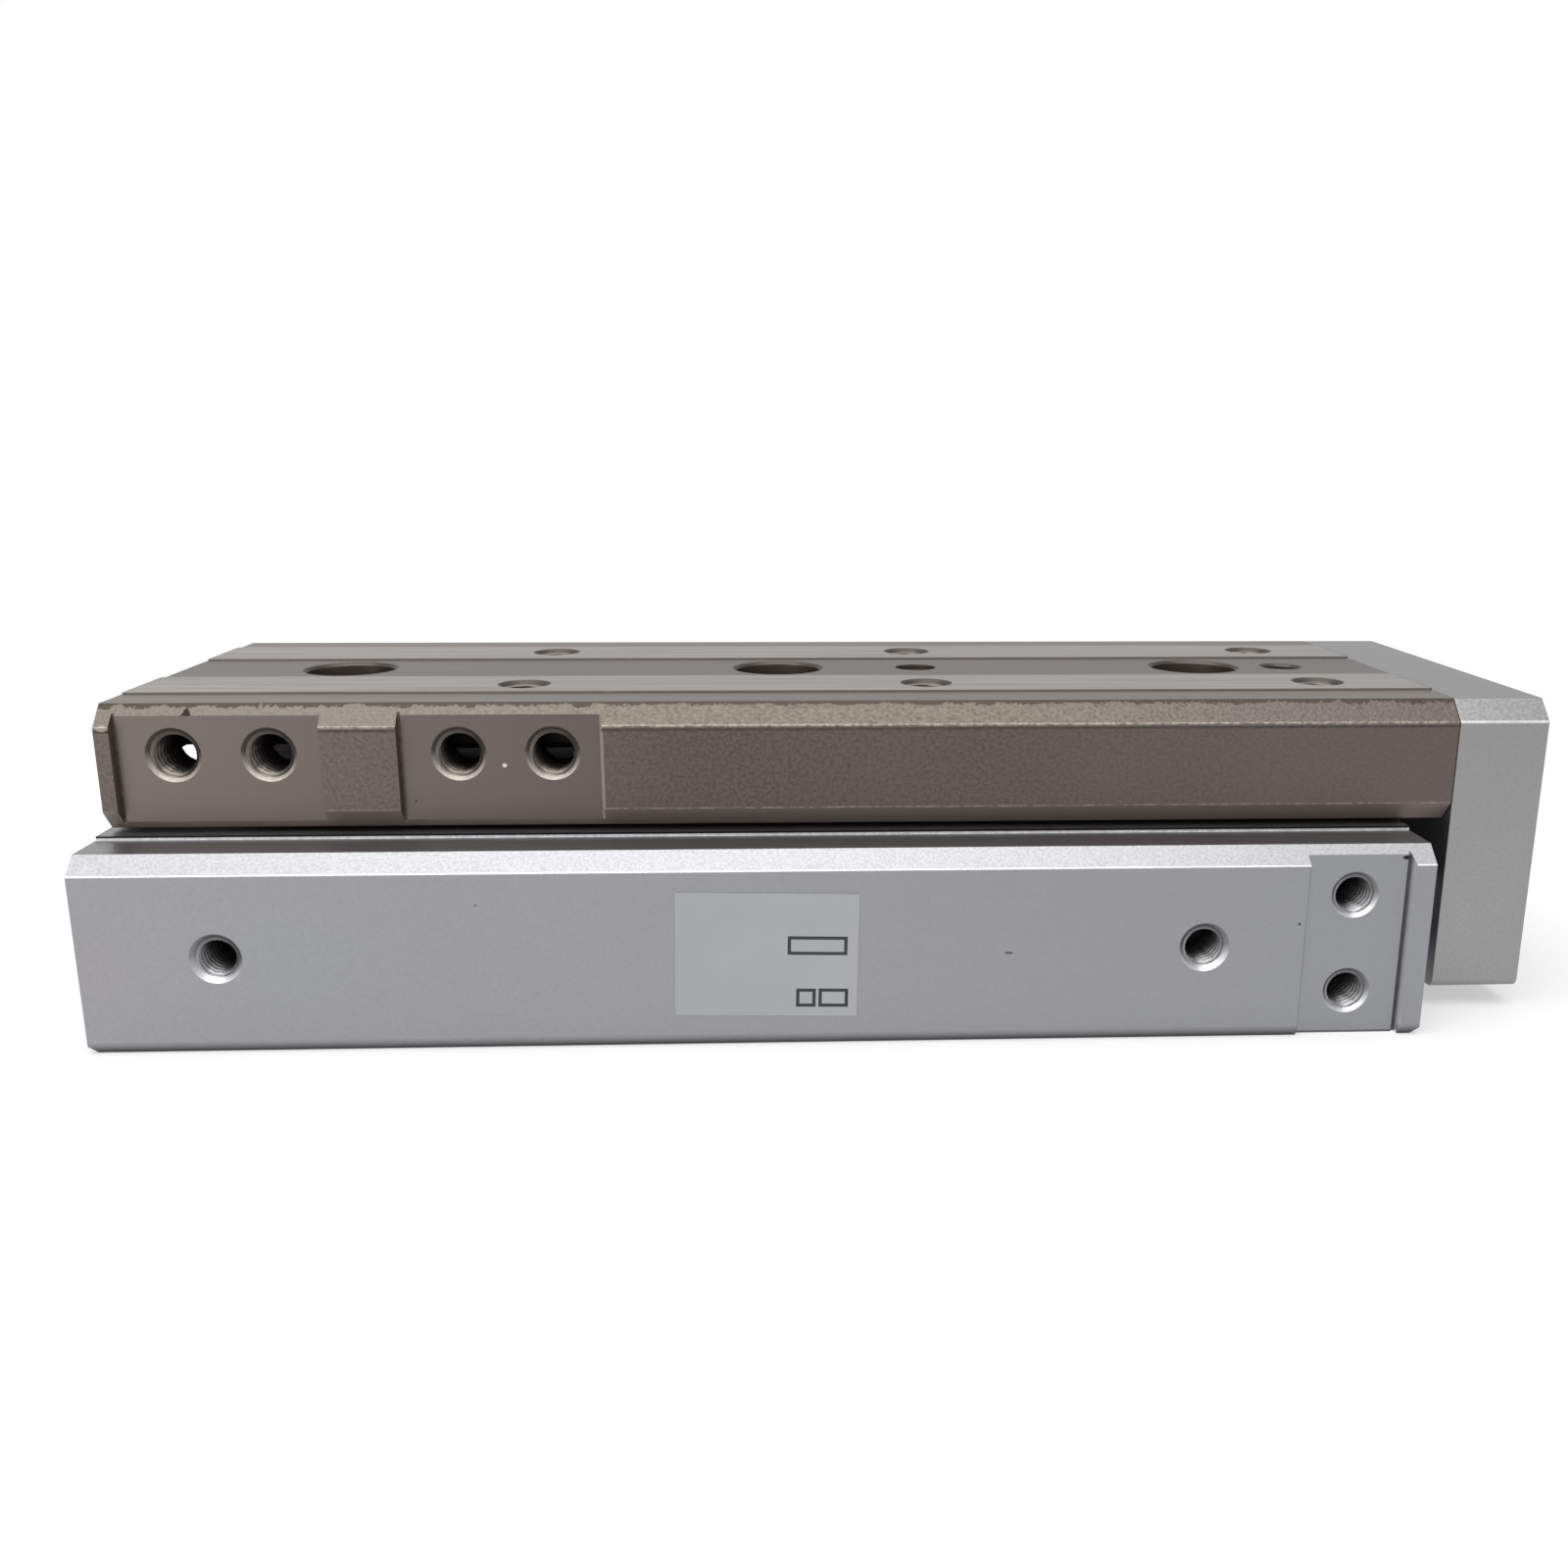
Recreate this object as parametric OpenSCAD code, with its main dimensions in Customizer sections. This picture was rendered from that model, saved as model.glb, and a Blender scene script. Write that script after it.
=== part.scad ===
// Twin-bore pneumatic slide table, shown retracted.
// A grooved aluminium body holds two small air cylinders side by side.  Their rods
// push an end plate, and the end plate carries a steel table that rides on a
// recirculating-ball guide block screwed to the top of the body.
// x runs along the stroke, y across the width, z up from the mounting face.
// Stations along x are counted from the rear face of the body.

/* [Body] */
// Length of the body
body_len = 157; // [150:0.5:170]
// Width of the body
body_w = 76; // [74:0.5:84]
// Height of the body at its side strips
body_h = 23.35; // [22.8:0.05:24]
// Step from the side strips up to the seat under the table
seat_step = 0.45; // [0.3:0.05:1]
// Width of each side strip, chamfer included
strip_w = 8.6; // [6:0.1:9]
// Width of the chamfers along the two top edges
body_chamfer_w = 2.4; // [1:0.1:3]
// Height of those chamfers
body_chamfer_h = 2; // [1:0.1:2.6]
// Width of the chamfers along the two bottom edges
foot_chamfer_w = 0.6; // [0.4:0.1:1.4]
// Height of those chamfers
foot_chamfer_h = 1.05; // [0.5:0.05:1.4]
// Chamfer along the bottom edge of both end faces
end_chamfer = 0.9; // [0.4:0.1:1.4]

/* [Air cylinders] */
// Bore of each cylinder
bore_d = 16; // [15.5:0.1:16.5]
// Distance between the two bores
bore_pitch = 30; // [29:0.5:32]
// Height of the bore axes
bore_z = 11.5; // [11:0.1:12]
// Diameter of the piston rods
rod_d = 8; // [7:0.5:8]
// Stroke of the table
stroke = 75; // [50:5:75]
// Station of the rear port
rear_port_x = 15.6; // [14.8:0.1:16.4]
// Station of the front port
front_port_x = 130; // [129:0.1:131]
// Wall radius of an M5 thread, just inside its crests
port_r = 2.4; // [2.3:0.05:2.45]
// Depth of the port thread
port_depth = 8; // [6:0.5:10]
// Radius of the drilled air way that joins a port to both bores
airway_r = 1.25; // [1:0.05:1.5]

/* [Table] */
// Rear end of the table, forward of the rear face of the body
table_rear = 1; // [0.5:0.1:2]
// Length of the table
table_len = 161.2; // [158:0.2:172]
// Width of the table and of the end plate
table_w = 58; // [56:0.5:60]
// Running gap between the body and the table
table_gap = 0.45; // [0.4:0.05:0.6]
// Height of the table up to its side strips
table_h = 14.85; // [14.5:0.05:15]
// Height of the two ground pads above the side strips
pad_rise = 0.2; // [0.1:0.1:0.6]
// Distance from the middle of the table to the inner edge of a pad
pad_inner_y = 8.1; // [7.6:0.1:8.4]
// Width of a pad
pad_w = 12; // [11:0.1:13]
// Chamfer along the two top edges
table_chamfer = 2.5; // [2:0.1:3]
// Height of the chamfers along the two bottom edges
table_foot_h = 2.3; // [1:0.1:2.6]
// Width of those chamfers, measured across the table
table_foot_w = 2; // [1.3:0.1:2.4]
// Thickness of the side walls that carry the raceways
wall_t = 10; // [9.5:0.1:10.5]
// Thickness of the roof between the walls
roof_t = 6.9; // [6.4:0.1:7]

/* [Table holes] */
// Radius of the access holes for the body mounting bolts
access_r = 5.75; // [5.5:0.05:6]
// Tapping radius of the M8 mounting holes of the body, which lie under the access holes
mount_r = 3.4; // [3.3:0.05:3.5]
// Station of the rear mounting hole
rear_mount_x = 22.8; // [22:0.1:24]
// Pitch of the mounting holes
mount_pitch = 57.3; // [56.5:0.1:57.5]
// Wall radius of the M6 threads, just inside their crests
m6_r = 2.8; // [2.7:0.05:2.9]
// Station of the rear tapped pair in the pads
rear_pad_hole_x = 48.2; // [47:0.1:49]
// Pitch of the tapped pairs along the table
pad_hole_step = 50.7; // [50:0.1:51]
// Distance across each tapped pair
pad_hole_pitch = 29; // [28:0.2:30]
// Radius of the locating pin holes
pin_r = 2.5; // [2.4:0.05:2.6]
// Depth of the locating pin holes
pin_depth = 5; // [4:0.5:5.5]
// Extra length of a slotted pin hole
pin_slot = 0.5; // [0.3:0.1:1]

/* [Stop seats] */
// Depth of the milled seats on the sides of the table and the body
seat_depth = 1.2; // [0.8:0.1:1.4]
// Length of a seat on the table
table_seat_len = 23.8; // [23:0.2:25]
// Station of the first side hole of the table
side_hole_x = 9.35; // [9.2:0.05:9.6]
// Pitch of the side holes of the table
side_hole_pitch = 11; // [10.8:0.1:11.2]
// Height of the side holes above the bottom of the table
side_hole_rise = 8.9; // [8.6:0.1:9.2]
// Distance from the first side hole back to the edge of its seat
side_hole_edge = 6.6; // [6.2:0.1:7]
// Station of the rear end of the seat on the body
body_seat_x = 142; // [141.5:0.1:142.5]
// Length of that seat
body_seat_len = 12.35; // [11.5:0.05:12.5]
// Station of the two tapped holes in that seat
body_seat_hole_x = 148; // [147:0.1:149]
// Height of the lower one
body_seat_hole_z = 5.4; // [5:0.1:6]
// Distance up to the other one
body_seat_hole_pitch = 12; // [11:0.1:12.5]

/* [Guide] */
// Length of the steel guide block
block_len = 55; // [53:1:57]
// Station of its rear end
block_x = 94; // [92:0.5:94]
// Diameter of a guide ball
ball_d = 3; // [2.9:0.05:3]
// Height of the ball circuits
ball_z = 28; // [27.8:0.1:28.2]
// Balls in one circuit
ball_count = 40; // [20:1:40]
// Radius of the turns at the ends of a circuit
turn_r = 3; // [3:0.1:3.2]
// Length of a return cover
cover_len = 7; // [6.5:0.1:7]

/* [End plate] */
// Thickness of the end plate
plate_t = 11; // [10:0.2:12]
// Height of its lower edge above the mounting face
plate_z = 2.5; // [2:0.1:4]
// Radius of its lower corners
plate_corner_r = 1.2; // [0.6:0.1:2]

/* [Hidden] */
$fn = 64;

eps = 0.5;                          // how far a cutter runs past the face it opens
fit = 0.02;                         // play round a part pressed or screwed home
plate_x = table_rear + table_len;   // rear face of the end plate
overall_len = plate_x + plate_t;
seat_z = body_h + seat_step;        // seat under the table
table_z = seat_z + table_gap;       // bottom of the table
strip_z = table_z + table_h;        // side strips and channel of the table
pad_z = strip_z + pad_rise;         // ground top of the table
roof_z = strip_z - roof_t;          // roof of the space for the guide
space_w = table_w - 2 * wall_t;     // width of that space
bore_r = bore_d / 2;
rod_r = rod_d / 2;
port_x = [rear_port_x, front_port_x];
mount_x = [for (k = [0:2]) rear_mount_x + k * mount_pitch];
pad_hole_x = [for (k = [0:2]) rear_pad_hole_x + k * pad_hole_step];
pad_y = [pad_inner_y, pad_inner_y + pad_w];

// Cylinder internals, as stations along the bore at rest
circlip_x = 2;                      // rear retaining ring
circlip_t = 1;
head_cap_x = [circlip_x + circlip_t, 13];
piston_x = [18, 52];
rod_x = [20, plate_x - 0.1];
front_bumper_x = piston_x[1] + stroke;
rod_cover_x = [front_bumper_x + 5, 153.9];
bush_x = [rod_cover_x[0] + 4, rod_cover_x[0] + 16];
rod_seal_x = [bush_x[1] + 1.4, bush_x[1] + 4.9];
piston_seal_x = [21, 46];
magnet_x = 29;
wear_ring_x = 38;
seal_floor_r = 5.5;                 // floor of the grooves for the seals and the magnet
wear_floor_r = 7;
o_ring_r = 0.95;                    // section radius of an O-ring
o_ring_x = 4;                       // how far it lies inside a cap, or in front of a bush
cap_r = bore_r - 0.05;              // head caps and rod covers
nose_r = 4.9;                       // nose of a rod cover
nose_len = 2.5;
bush_r = 5;
rod_seal_r = 6.15;
stud_r = 2.5;                       // stud behind a piston
stud_len = 3;

// Rod ends in the end plate
rod_hole_r = 3.5;
rod_pocket_r = 5.5;
rod_pocket_x = plate_x + 5;         // floor of the pocket for the bolt head
rod_bolt_head_h = 4.4;              // low head of the bolt into a rod
plate_screw = [22.5, 31.7];         // y and z of a screw into the table
plate_screw_seat = plate_x + 5;
plate_dowel = [8, strip_z - 3.4];   // y and z of a dowel
plate_dowel_r = 2;
plate_tap_y = 7;                    // four tapped holes for the user's bracket
plate_tap_z = [6.5, 24.5];

// Relief groove in the corner of a milled seat
relief_w = 0.35;
relief_d = 0.3;

// Screws, each [radius, head radius, head height, radius of the hexagon socket]
m5_screw = [2.5, 4.25, 5, 2.3];
m4_screw = [2, 3.5, 4, 1.73];
m25_screw = [1.25, 2.25, 2.5, 1.15];

// Guide
ball_r = ball_d / 2;
race_r = ball_r + 0.15;             // raceway and return channel
block_y = space_w / 2 - 0.6;        // side face of the guide block
race_y = space_w / 2 - 0.3;         // loaded row, half in the block, half in the wall
return_y = race_y - 2 * turn_r;     // return row inside the block
block_top = roof_z - 0.5;
block_screw_x = [block_x + 12, block_x + 33];
block_screw_y = 6;
block_screw_grip = 9.4;             // from under the head to the tip
block_screw_seat = block_top - 4.2; // height of the seat under the head
cover_screw_y = 6;
cover_screw_seat = 4;               // from the end of the block to the seat under the head
cover_head_r = m25_screw[1] + 0.15; // room for the head
scraper_t = 1;

// ---------------------------------------------------------------- shared shapes

// Everything is placed from the rear face of the body, and stands centred at last.
module from_rear() translate([-overall_len / 2, 0, 0]) children();

// Rod, bore or disc along the stroke, from station x0 to x1.
module along_x(r, x0, x1, y = 0, z = 0)
    translate([x0, y, z]) rotate([0, 90, 0]) cylinder(r = r, h = x1 - x0);

// Cone along the stroke, radius ra at station x0 and rb at x1.
module cone_x(ra, rb, x0, x1, y = 0, z = 0)
    translate([x0, y, z]) rotate([0, 90, 0]) cylinder(r1 = ra, r2 = rb, h = x1 - x0);

// Ring along the stroke.
module ring_x(ro, ri, x0, x1)
    difference() {
        along_x(ro, x0, x1);
        along_x(ri, x0 - eps, x1 + eps);
    }

// O-ring that seals a cap in a bore, centred at station x, and its groove.
module o_ring(x)
    translate([x, 0, 0]) rotate([0, 90, 0])
        rotate_extrude() translate([cap_r - o_ring_r, 0]) circle(r = o_ring_r);
module o_ring_groove(x) groove_x(cap_r - 2 * o_ring_r - 0.05, x - 1.15, x + 1.15);

// Both cylinders, or one: side is -1 for the left bore and 1 for the right one.
module at_bore(side) translate([0, side * bore_pitch / 2, bore_z]) children();
module both_bores() for (side = [-1, 1]) at_bore(side) children();

// Hole drilled down from height z, with a countersink of width csk round its mouth.
module hole_down(r, z, depth, csk) {
    translate([0, 0, z - depth]) cylinder(r = r, h = depth + eps);
    translate([0, 0, z - csk]) cylinder(r1 = r, r2 = r + csk + eps, h = csk + eps);
}

// The same hole drilled in from the left side, whose face is at y.
module hole_in(r, y, depth, csk)
    translate([0, y, 0]) rotate([90, 0, 0]) hole_down(r, 0, depth, csk);

// Groove turned in the outside of a round part, from station x0 to x1.
module groove_x(floor_r, x0, x1) ring_x(bore_r + eps, floor_r, x0, x1);

// Socket head screw pointing down, its head seated on z = 0.
module cap_screw(size, len, head_h) {
    socket_floor = head_h * 0.45;
    difference() {
        union() {
            translate([0, 0, -len]) cylinder(r = size[0], h = len + eps);
            cylinder(r = size[1], h = head_h);
        }
        translate([0, 0, socket_floor]) cylinder(r = size[3], h = head_h, $fn = 6);
    }
}

// The same screw pointing backwards, its head seated on station x.
module cap_screw_x(size, x, len, head_h)
    translate([x, 0, 0]) rotate([0, 90, 0]) cap_screw(size, len, head_h);

// Internal retaining ring with its two plier eyes, the gap at the bottom.
module retaining_ring(x) {
    ring_i = bore_r - 1.3;
    eye = [ring_i - 0.5, 2.3];      // centre of an eye, below and beside the axis
    gap = [6, 2.2];
    cut_h = circlip_t + 2 * eps;
    translate([x, 0, 0]) rotate([0, 90, 0]) difference() {
        union() {
            difference() {
                cylinder(r = bore_r + 0.45, h = circlip_t);
                translate([0, 0, -eps]) cylinder(r = ring_i, h = cut_h);
            }
            for (s = [-1, 1]) translate([eye[0], s * eye[1], 0]) cylinder(r = 1.25, h = circlip_t);
        }
        translate([ring_i - 2.5, -gap[1] / 2, -eps]) cube([gap[0], gap[1], cut_h]);
        for (s = [-1, 1]) translate([eye[0], s * eye[1], -eps]) cylinder(r = 0.55, h = cut_h);
    }
}

// ---------------------------------------------------------------- body

// Cross-section: chamfered side strips either side of a raised seat.
module body_section() {
    h = body_w / 2;
    seat = h - strip_w;
    polygon([
        [-h + foot_chamfer_w, 0], [h - foot_chamfer_w, 0], [h, foot_chamfer_h],
        [h, body_h - body_chamfer_h], [h - body_chamfer_w, body_h],
        [seat, body_h], [seat, seat_z], [-seat, seat_z], [-seat, body_h],
        [-h + body_chamfer_w, body_h], [-h, body_h - body_chamfer_h], [-h, foot_chamfer_h]
    ]);
}

// Round groove for a position sensor, opening through the right side.
module sensor_groove(z) {
    groove_r = 2.05;
    mouth = 2.9;
    depth = 4.6;
    centre_y = body_w / 2 - depth + groove_r;
    along_x(groove_r, -eps, body_len + eps, centre_y, z);
    translate([-eps, centre_y, z - mouth / 2]) cube([body_len + 2 * eps, depth, mouth]);
}

// Wedge that breaks the lower edge of an end face.
module end_break()
    translate([0, body_w / 2 + eps, 0]) rotate([90, 0, 0]) linear_extrude(body_w + 2 * eps)
        polygon([[-eps, -eps], [end_chamfer + eps, -eps], [-eps, end_chamfer + eps]]);

module body() {
    side_y = -body_w / 2;
    seat_floor = side_y + seat_depth;
    seat_end = body_seat_x + body_seat_len;
    seat_runout = 0.4;              // slope that the cutter leaves at the end of the seat
    screw_hole_depth = 6.4;
    ring_groove_r = bore_r + 0.5;
    ring_play = 0.05;
    color("silver") from_rear() difference() {
        rotate([90, 0, 90]) linear_extrude(body_len) body_section();
        // cylinder bores with their retaining ring grooves
        both_bores() {
            along_x(bore_r, -eps, body_len + eps);
            for (x = [circlip_x, rod_cover_x[1]])
                along_x(ring_groove_r, x - ring_play, x + circlip_t + ring_play);
        }
        // ports, and the air ways on through the left bore into the right one
        for (x = port_x) translate([x, 0, bore_z]) {
            hole_in(port_r, side_y, port_depth, 0.6);
            translate([0, bore_pitch / 2, 0]) rotate([90, 0, 0])
                cylinder(r = airway_r, h = bore_pitch / 2 - side_y);
        }
        // through holes in the web between the bores, tapped from below
        for (x = mount_x) translate([x, 0, -eps]) cylinder(r = mount_r, h = seat_z + 2 * eps);
        // locating pin holes in the mounting face, one round and one slotted
        translate([(mount_x[0] + mount_x[1]) / 2, 0, -eps]) cylinder(r = pin_r, h = pin_depth + eps);
        translate([(mount_x[1] + mount_x[2]) / 2, 0, -eps]) slotted_pin_hole();
        // seat for a stop on the left side, with its two tapped holes
        translate([0, 0, -eps]) linear_extrude(body_h + 2 * eps) polygon([
            [body_seat_x, side_y - eps], [body_seat_x, seat_floor],
            [seat_end - relief_w, seat_floor], [seat_end - relief_w, seat_floor + relief_d],
            [seat_end, seat_floor + relief_d], [seat_end, seat_floor],
            [seat_end + seat_runout, side_y - eps]
        ]);
        for (z = [body_seat_hole_z, body_seat_hole_z + body_seat_hole_pitch])
            translate([body_seat_hole_x, 0, z]) hole_in(port_r, seat_floor, 9, 0.45);
        // tapped holes for the guide block
        for (x = block_screw_x, s = [-1, 1])
            translate([x, s * block_screw_y, seat_z - screw_hole_depth])
                cylinder(r = m4_screw[0] + fit, h = screw_hole_depth + eps);
        // sensor grooves on the right side
        for (z = [6.6, 16.4]) sensor_groove(z);
        // broken lower edges of the end faces
        end_break();
        translate([body_len, 0, 0]) mirror([1, 0, 0]) end_break();
    }
}

// Pin hole stretched along the stroke.
module slotted_pin_hole() {
    for (s = [-1, 1]) translate([s * pin_slot / 2, 0, 0]) cylinder(r = pin_r, h = pin_depth + eps);
    translate([-pin_slot / 2, -pin_r, 0]) cube([pin_slot, 2 * pin_r, pin_depth + eps]);
}

// ---------------------------------------------------------------- cylinder ends

module head_cap(side) {
    color("dimgray") from_rear() at_bore(side) difference() {
        along_x(cap_r, head_cap_x[0], head_cap_x[1]);
        o_ring_groove(head_cap_x[0] + o_ring_x);
        // dished back with a tapped hole to draw the cap out
        along_x(5, head_cap_x[0] - eps, head_cap_x[0] + 1.2);
        along_x(1.65, head_cap_x[0], head_cap_x[0] + 6);
    }
}
module head_cap_left() head_cap(-1);
module head_cap_right() head_cap(1);

module head_cap_o_rings() color("#202020") from_rear() both_bores() o_ring(head_cap_x[0] + o_ring_x);

module rear_retaining_rings() color("#3a3a3c") from_rear() both_bores() retaining_ring(circlip_x);

// Bushed gland that closes the front of a bore; its nose carries the bumper.
module rod_cover(side) {
    rod_way_r = rod_r + 0.3;
    mouth = 1.6;                    // how much wider the mouth opens than the rod
    color("gray") from_rear() at_bore(side) difference() {
        union() {
            along_x(cap_r, rod_cover_x[0], rod_cover_x[1]);
            along_x(nose_r, rod_cover_x[0] - nose_len, rod_cover_x[0] + eps);
        }
        along_x(rod_way_r, rod_cover_x[0] - nose_len - eps, rod_cover_x[1] + eps);
        along_x(bush_r + fit, bush_x[0], bush_x[1]);
        along_x(rod_seal_r + 0.05, rod_seal_x[0], rod_seal_x[1]);
        o_ring_groove(bush_x[0] + o_ring_x);
        cone_x(rod_r, rod_r + mouth, rod_cover_x[1] - 0.75 * mouth, rod_cover_x[1] + 0.25 * mouth);
    }
}
module rod_cover_left() rod_cover(-1);
module rod_cover_right() rod_cover(1);

module rod_cover_o_rings() color("#202020") from_rear() both_bores() o_ring(bush_x[0] + o_ring_x);

module rod_bushes()
    color("#8c6f45") from_rear() both_bores() ring_x(bush_r, rod_r + 0.03, bush_x[0], bush_x[1]);

// Lip seal: a heel in the pocket and a lip that leans on the rod.
module rod_seals()
    color("#1c1c1c") from_rear() both_bores()
        translate([rod_seal_x[0], 0, 0]) rotate([0, 90, 0]) rotate_extrude()
            polygon([
                [rod_r + 0.25, 0], [rod_seal_r, 0], [rod_seal_r, 3.4], [rod_r + 1.6, 3.4],
                [rod_r + 1.1, 1.9], [rod_r + 0.5, 3.2], [rod_r + 0.05, 3.0]
            ]);

module front_retaining_rings() color("#3a3a3c") from_rear() both_bores() retaining_ring(rod_cover_x[1]);

// Rubber ring on the nose of each rod cover, which the piston meets at full stroke.
module front_bumpers()
    color("#2a2a2a") from_rear() both_bores() difference() {
        along_x(6, front_bumper_x + 0.05, rod_cover_x[0]);
        along_x(rod_r + 0.3, front_bumper_x - eps, rod_cover_x[0] + eps);
        along_x(nose_r + fit, rod_cover_x[0] - nose_len - 0.05, rod_cover_x[0] + eps);
    }

// ---------------------------------------------------------------- linear guide

// Cross-section of the guide block, the return covers and the scrapers.
module guide_section(half_w, top) {
    break_w = 0.8;
    polygon([
        [-half_w, seat_z], [half_w, seat_z], [half_w, top - break_w], [half_w - break_w, top],
        [-half_w + break_w, top], [-half_w, top - break_w]
    ]);
}

module guide_block() {
    bolt_floor = seat_z + 1.6;
    block_end = block_x + block_len;
    tap_depth = 6.5;
    tap_r = m25_screw[0] + fit;
    color("#6e6b68") from_rear() difference() {
        translate([block_x, 0, 0]) rotate([90, 0, 90])
            linear_extrude(block_len) guide_section(block_y, block_top);
        for (s = [-1, 1]) {
            along_x(race_r - 0.05, block_x - eps, block_end + eps, s * race_y, ball_z);
            along_x(race_r, block_x - eps, block_end + eps, s * return_y, ball_z);
            // tapped holes for the return covers
            along_x(tap_r, block_x - eps, block_x + tap_depth, s * cover_screw_y, ball_z);
            along_x(tap_r, block_end - tap_depth, block_end + eps, s * cover_screw_y, ball_z);
        }
        // counterbored holes for the screws into the body
        for (x = block_screw_x, s = [-1, 1]) translate([x, s * block_screw_y, 0]) {
            translate([0, 0, seat_z - eps]) cylinder(r = m4_screw[0] + 0.15, h = block_top);
            translate([0, 0, block_screw_seat]) cylinder(r = m4_screw[1] + 0.2, h = block_top);
        }
        // way through for the front mounting bolt and its head
        translate([mount_x[2], 0, 0]) {
            translate([0, 0, seat_z - eps]) cylinder(r = mount_r, h = block_top);
            translate([0, 0, bolt_floor]) cylinder(r = access_r, h = block_top);
        }
    }
}

// M4 socket head screws that hold the guide block down.
module guide_block_screws()
    color("#303032") from_rear() for (x = block_screw_x, s = [-1, 1])
        translate([x, s * block_screw_y, block_screw_seat])
            cap_screw(m4_screw, block_screw_grip, m4_screw[2]);

// Moulded cover with the half-round ways that turn the balls back into the block.
// face is the station of the block's end face; dir is 1 where the cover lies in front.
module return_cover(face, dir) {
    far = face + dir * cover_len;
    head_seat = face + dir * cover_screw_seat;
    color("#2f3a36") from_rear() difference() {
        translate([min(face, far), 0, 0]) rotate([90, 0, 90])
            linear_extrude(cover_len) guide_section(block_y, block_top);
        for (s = [-1, 1]) {
            translate([face, s * (race_y + return_y) / 2, ball_z]) rotate([0, 0, -90 * dir])
                rotate_extrude(angle = 180) translate([turn_r, 0]) circle(r = race_r);
            // hole and counterbore for a screw
            translate([0, s * cover_screw_y, ball_z]) {
                along_x(m25_screw[0] + 0.05, min(face, far) - eps, max(face, far) + eps);
                along_x(cover_head_r, min(head_seat, far + dir), max(head_seat, far + dir));
            }
        }
    }
}
module return_cover_rear() return_cover(block_x, -1);
module return_cover_front() return_cover(block_x + block_len, 1);

// M2.5 screws through both return covers.
module return_cover_screws()
    color("#303032") from_rear() for (s = [-1, 1]) translate([0, s * cover_screw_y, ball_z]) {
        cap_screw_x(m25_screw, block_x + block_len + cover_screw_seat, 10, m25_screw[2]);
        translate([block_x - cover_screw_seat, 0, 0])
            mirror([1, 0, 0]) cap_screw_x(m25_screw, 0, 10, m25_screw[2]);
    }

// Thin wiper on the outer face of a return cover, with an ear in each raceway.
module scraper(x) {
    clear = 0.3;
    color("#202020") from_rear() difference() {
        union() {
            translate([x, 0, 0]) rotate([90, 0, 90]) linear_extrude(scraper_t)
                guide_section(space_w / 2 - clear, roof_z - clear);
            for (s = [-1, 1]) along_x(race_r - clear, x, x + scraper_t, s * race_y, ball_z);
        }
        for (s = [-1, 1])
            along_x(cover_head_r, x - eps, x + scraper_t + eps, s * cover_screw_y, ball_z);
    }
}
module scraper_rear() scraper(block_x - cover_len - scraper_t);
module scraper_front() scraper(block_x + block_len + cover_len);

// One closed circuit of balls: along the raceway, round the front turn, back through
// the block and round the rear turn.  u is the distance gone round the circuit.
run = block_len;
turn = PI * turn_r;
circuit_len = 2 * (run + turn);
function turn_point(v) = turn_r * [sin(v / turn * 180), cos(v / turn * 180)];
function circuit_point(u) =
    u < run ? [u, turn_r]
    : u < run + turn ? [run, 0] + turn_point(u - run)
    : u < 2 * run + turn ? [2 * run + turn - u, -turn_r]
    : -turn_point(u - 2 * run - turn);

module ball_circuit(side)
    color("#c8c8cc") from_rear() translate([block_x, side * (race_y + return_y) / 2, ball_z])
        for (i = [0:ball_count - 1]) {
            p = circuit_point((i + 0.5) * circuit_len / ball_count);
            translate([p[0], side * p[1], 0]) sphere(r = ball_r, $fn = 24);
        }
module ball_circuit_left() ball_circuit(-1);
module ball_circuit_right() ball_circuit(1);

// ---------------------------------------------------------------- table

// Cross-section: an upturned channel with chamfered edges, two ground pads on top
// and a sunken strip between them.
module table_section() {
    h = table_w / 2;
    s = space_w / 2;
    polygon([
        [-h + table_foot_w, table_z], [-s, table_z], [-s, roof_z], [s, roof_z], [s, table_z],
        [h - table_foot_w, table_z], [h, table_z + table_foot_h], [h, strip_z - table_chamfer],
        [h - table_chamfer, strip_z], [pad_y[1], strip_z], [pad_y[1], pad_z], [pad_y[0], pad_z],
        [pad_y[0], strip_z], [-pad_y[0], strip_z], [-pad_y[0], pad_z], [-pad_y[1], pad_z],
        [-pad_y[1], strip_z], [-h + table_chamfer, strip_z], [-h, strip_z - table_chamfer],
        [-h, table_z + table_foot_h]
    ]);
}

// Milled seat of a given length and height, sunk by the seat depth, with the narrow relief
// groove that clears the corner at the foot of its rear wall.
module seat_with_relief(length, height) {
    cube([length, seat_depth + eps, height + 2 * eps]);
    cube([relief_w, seat_depth + relief_d + eps, height + 2 * eps]);
}

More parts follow.
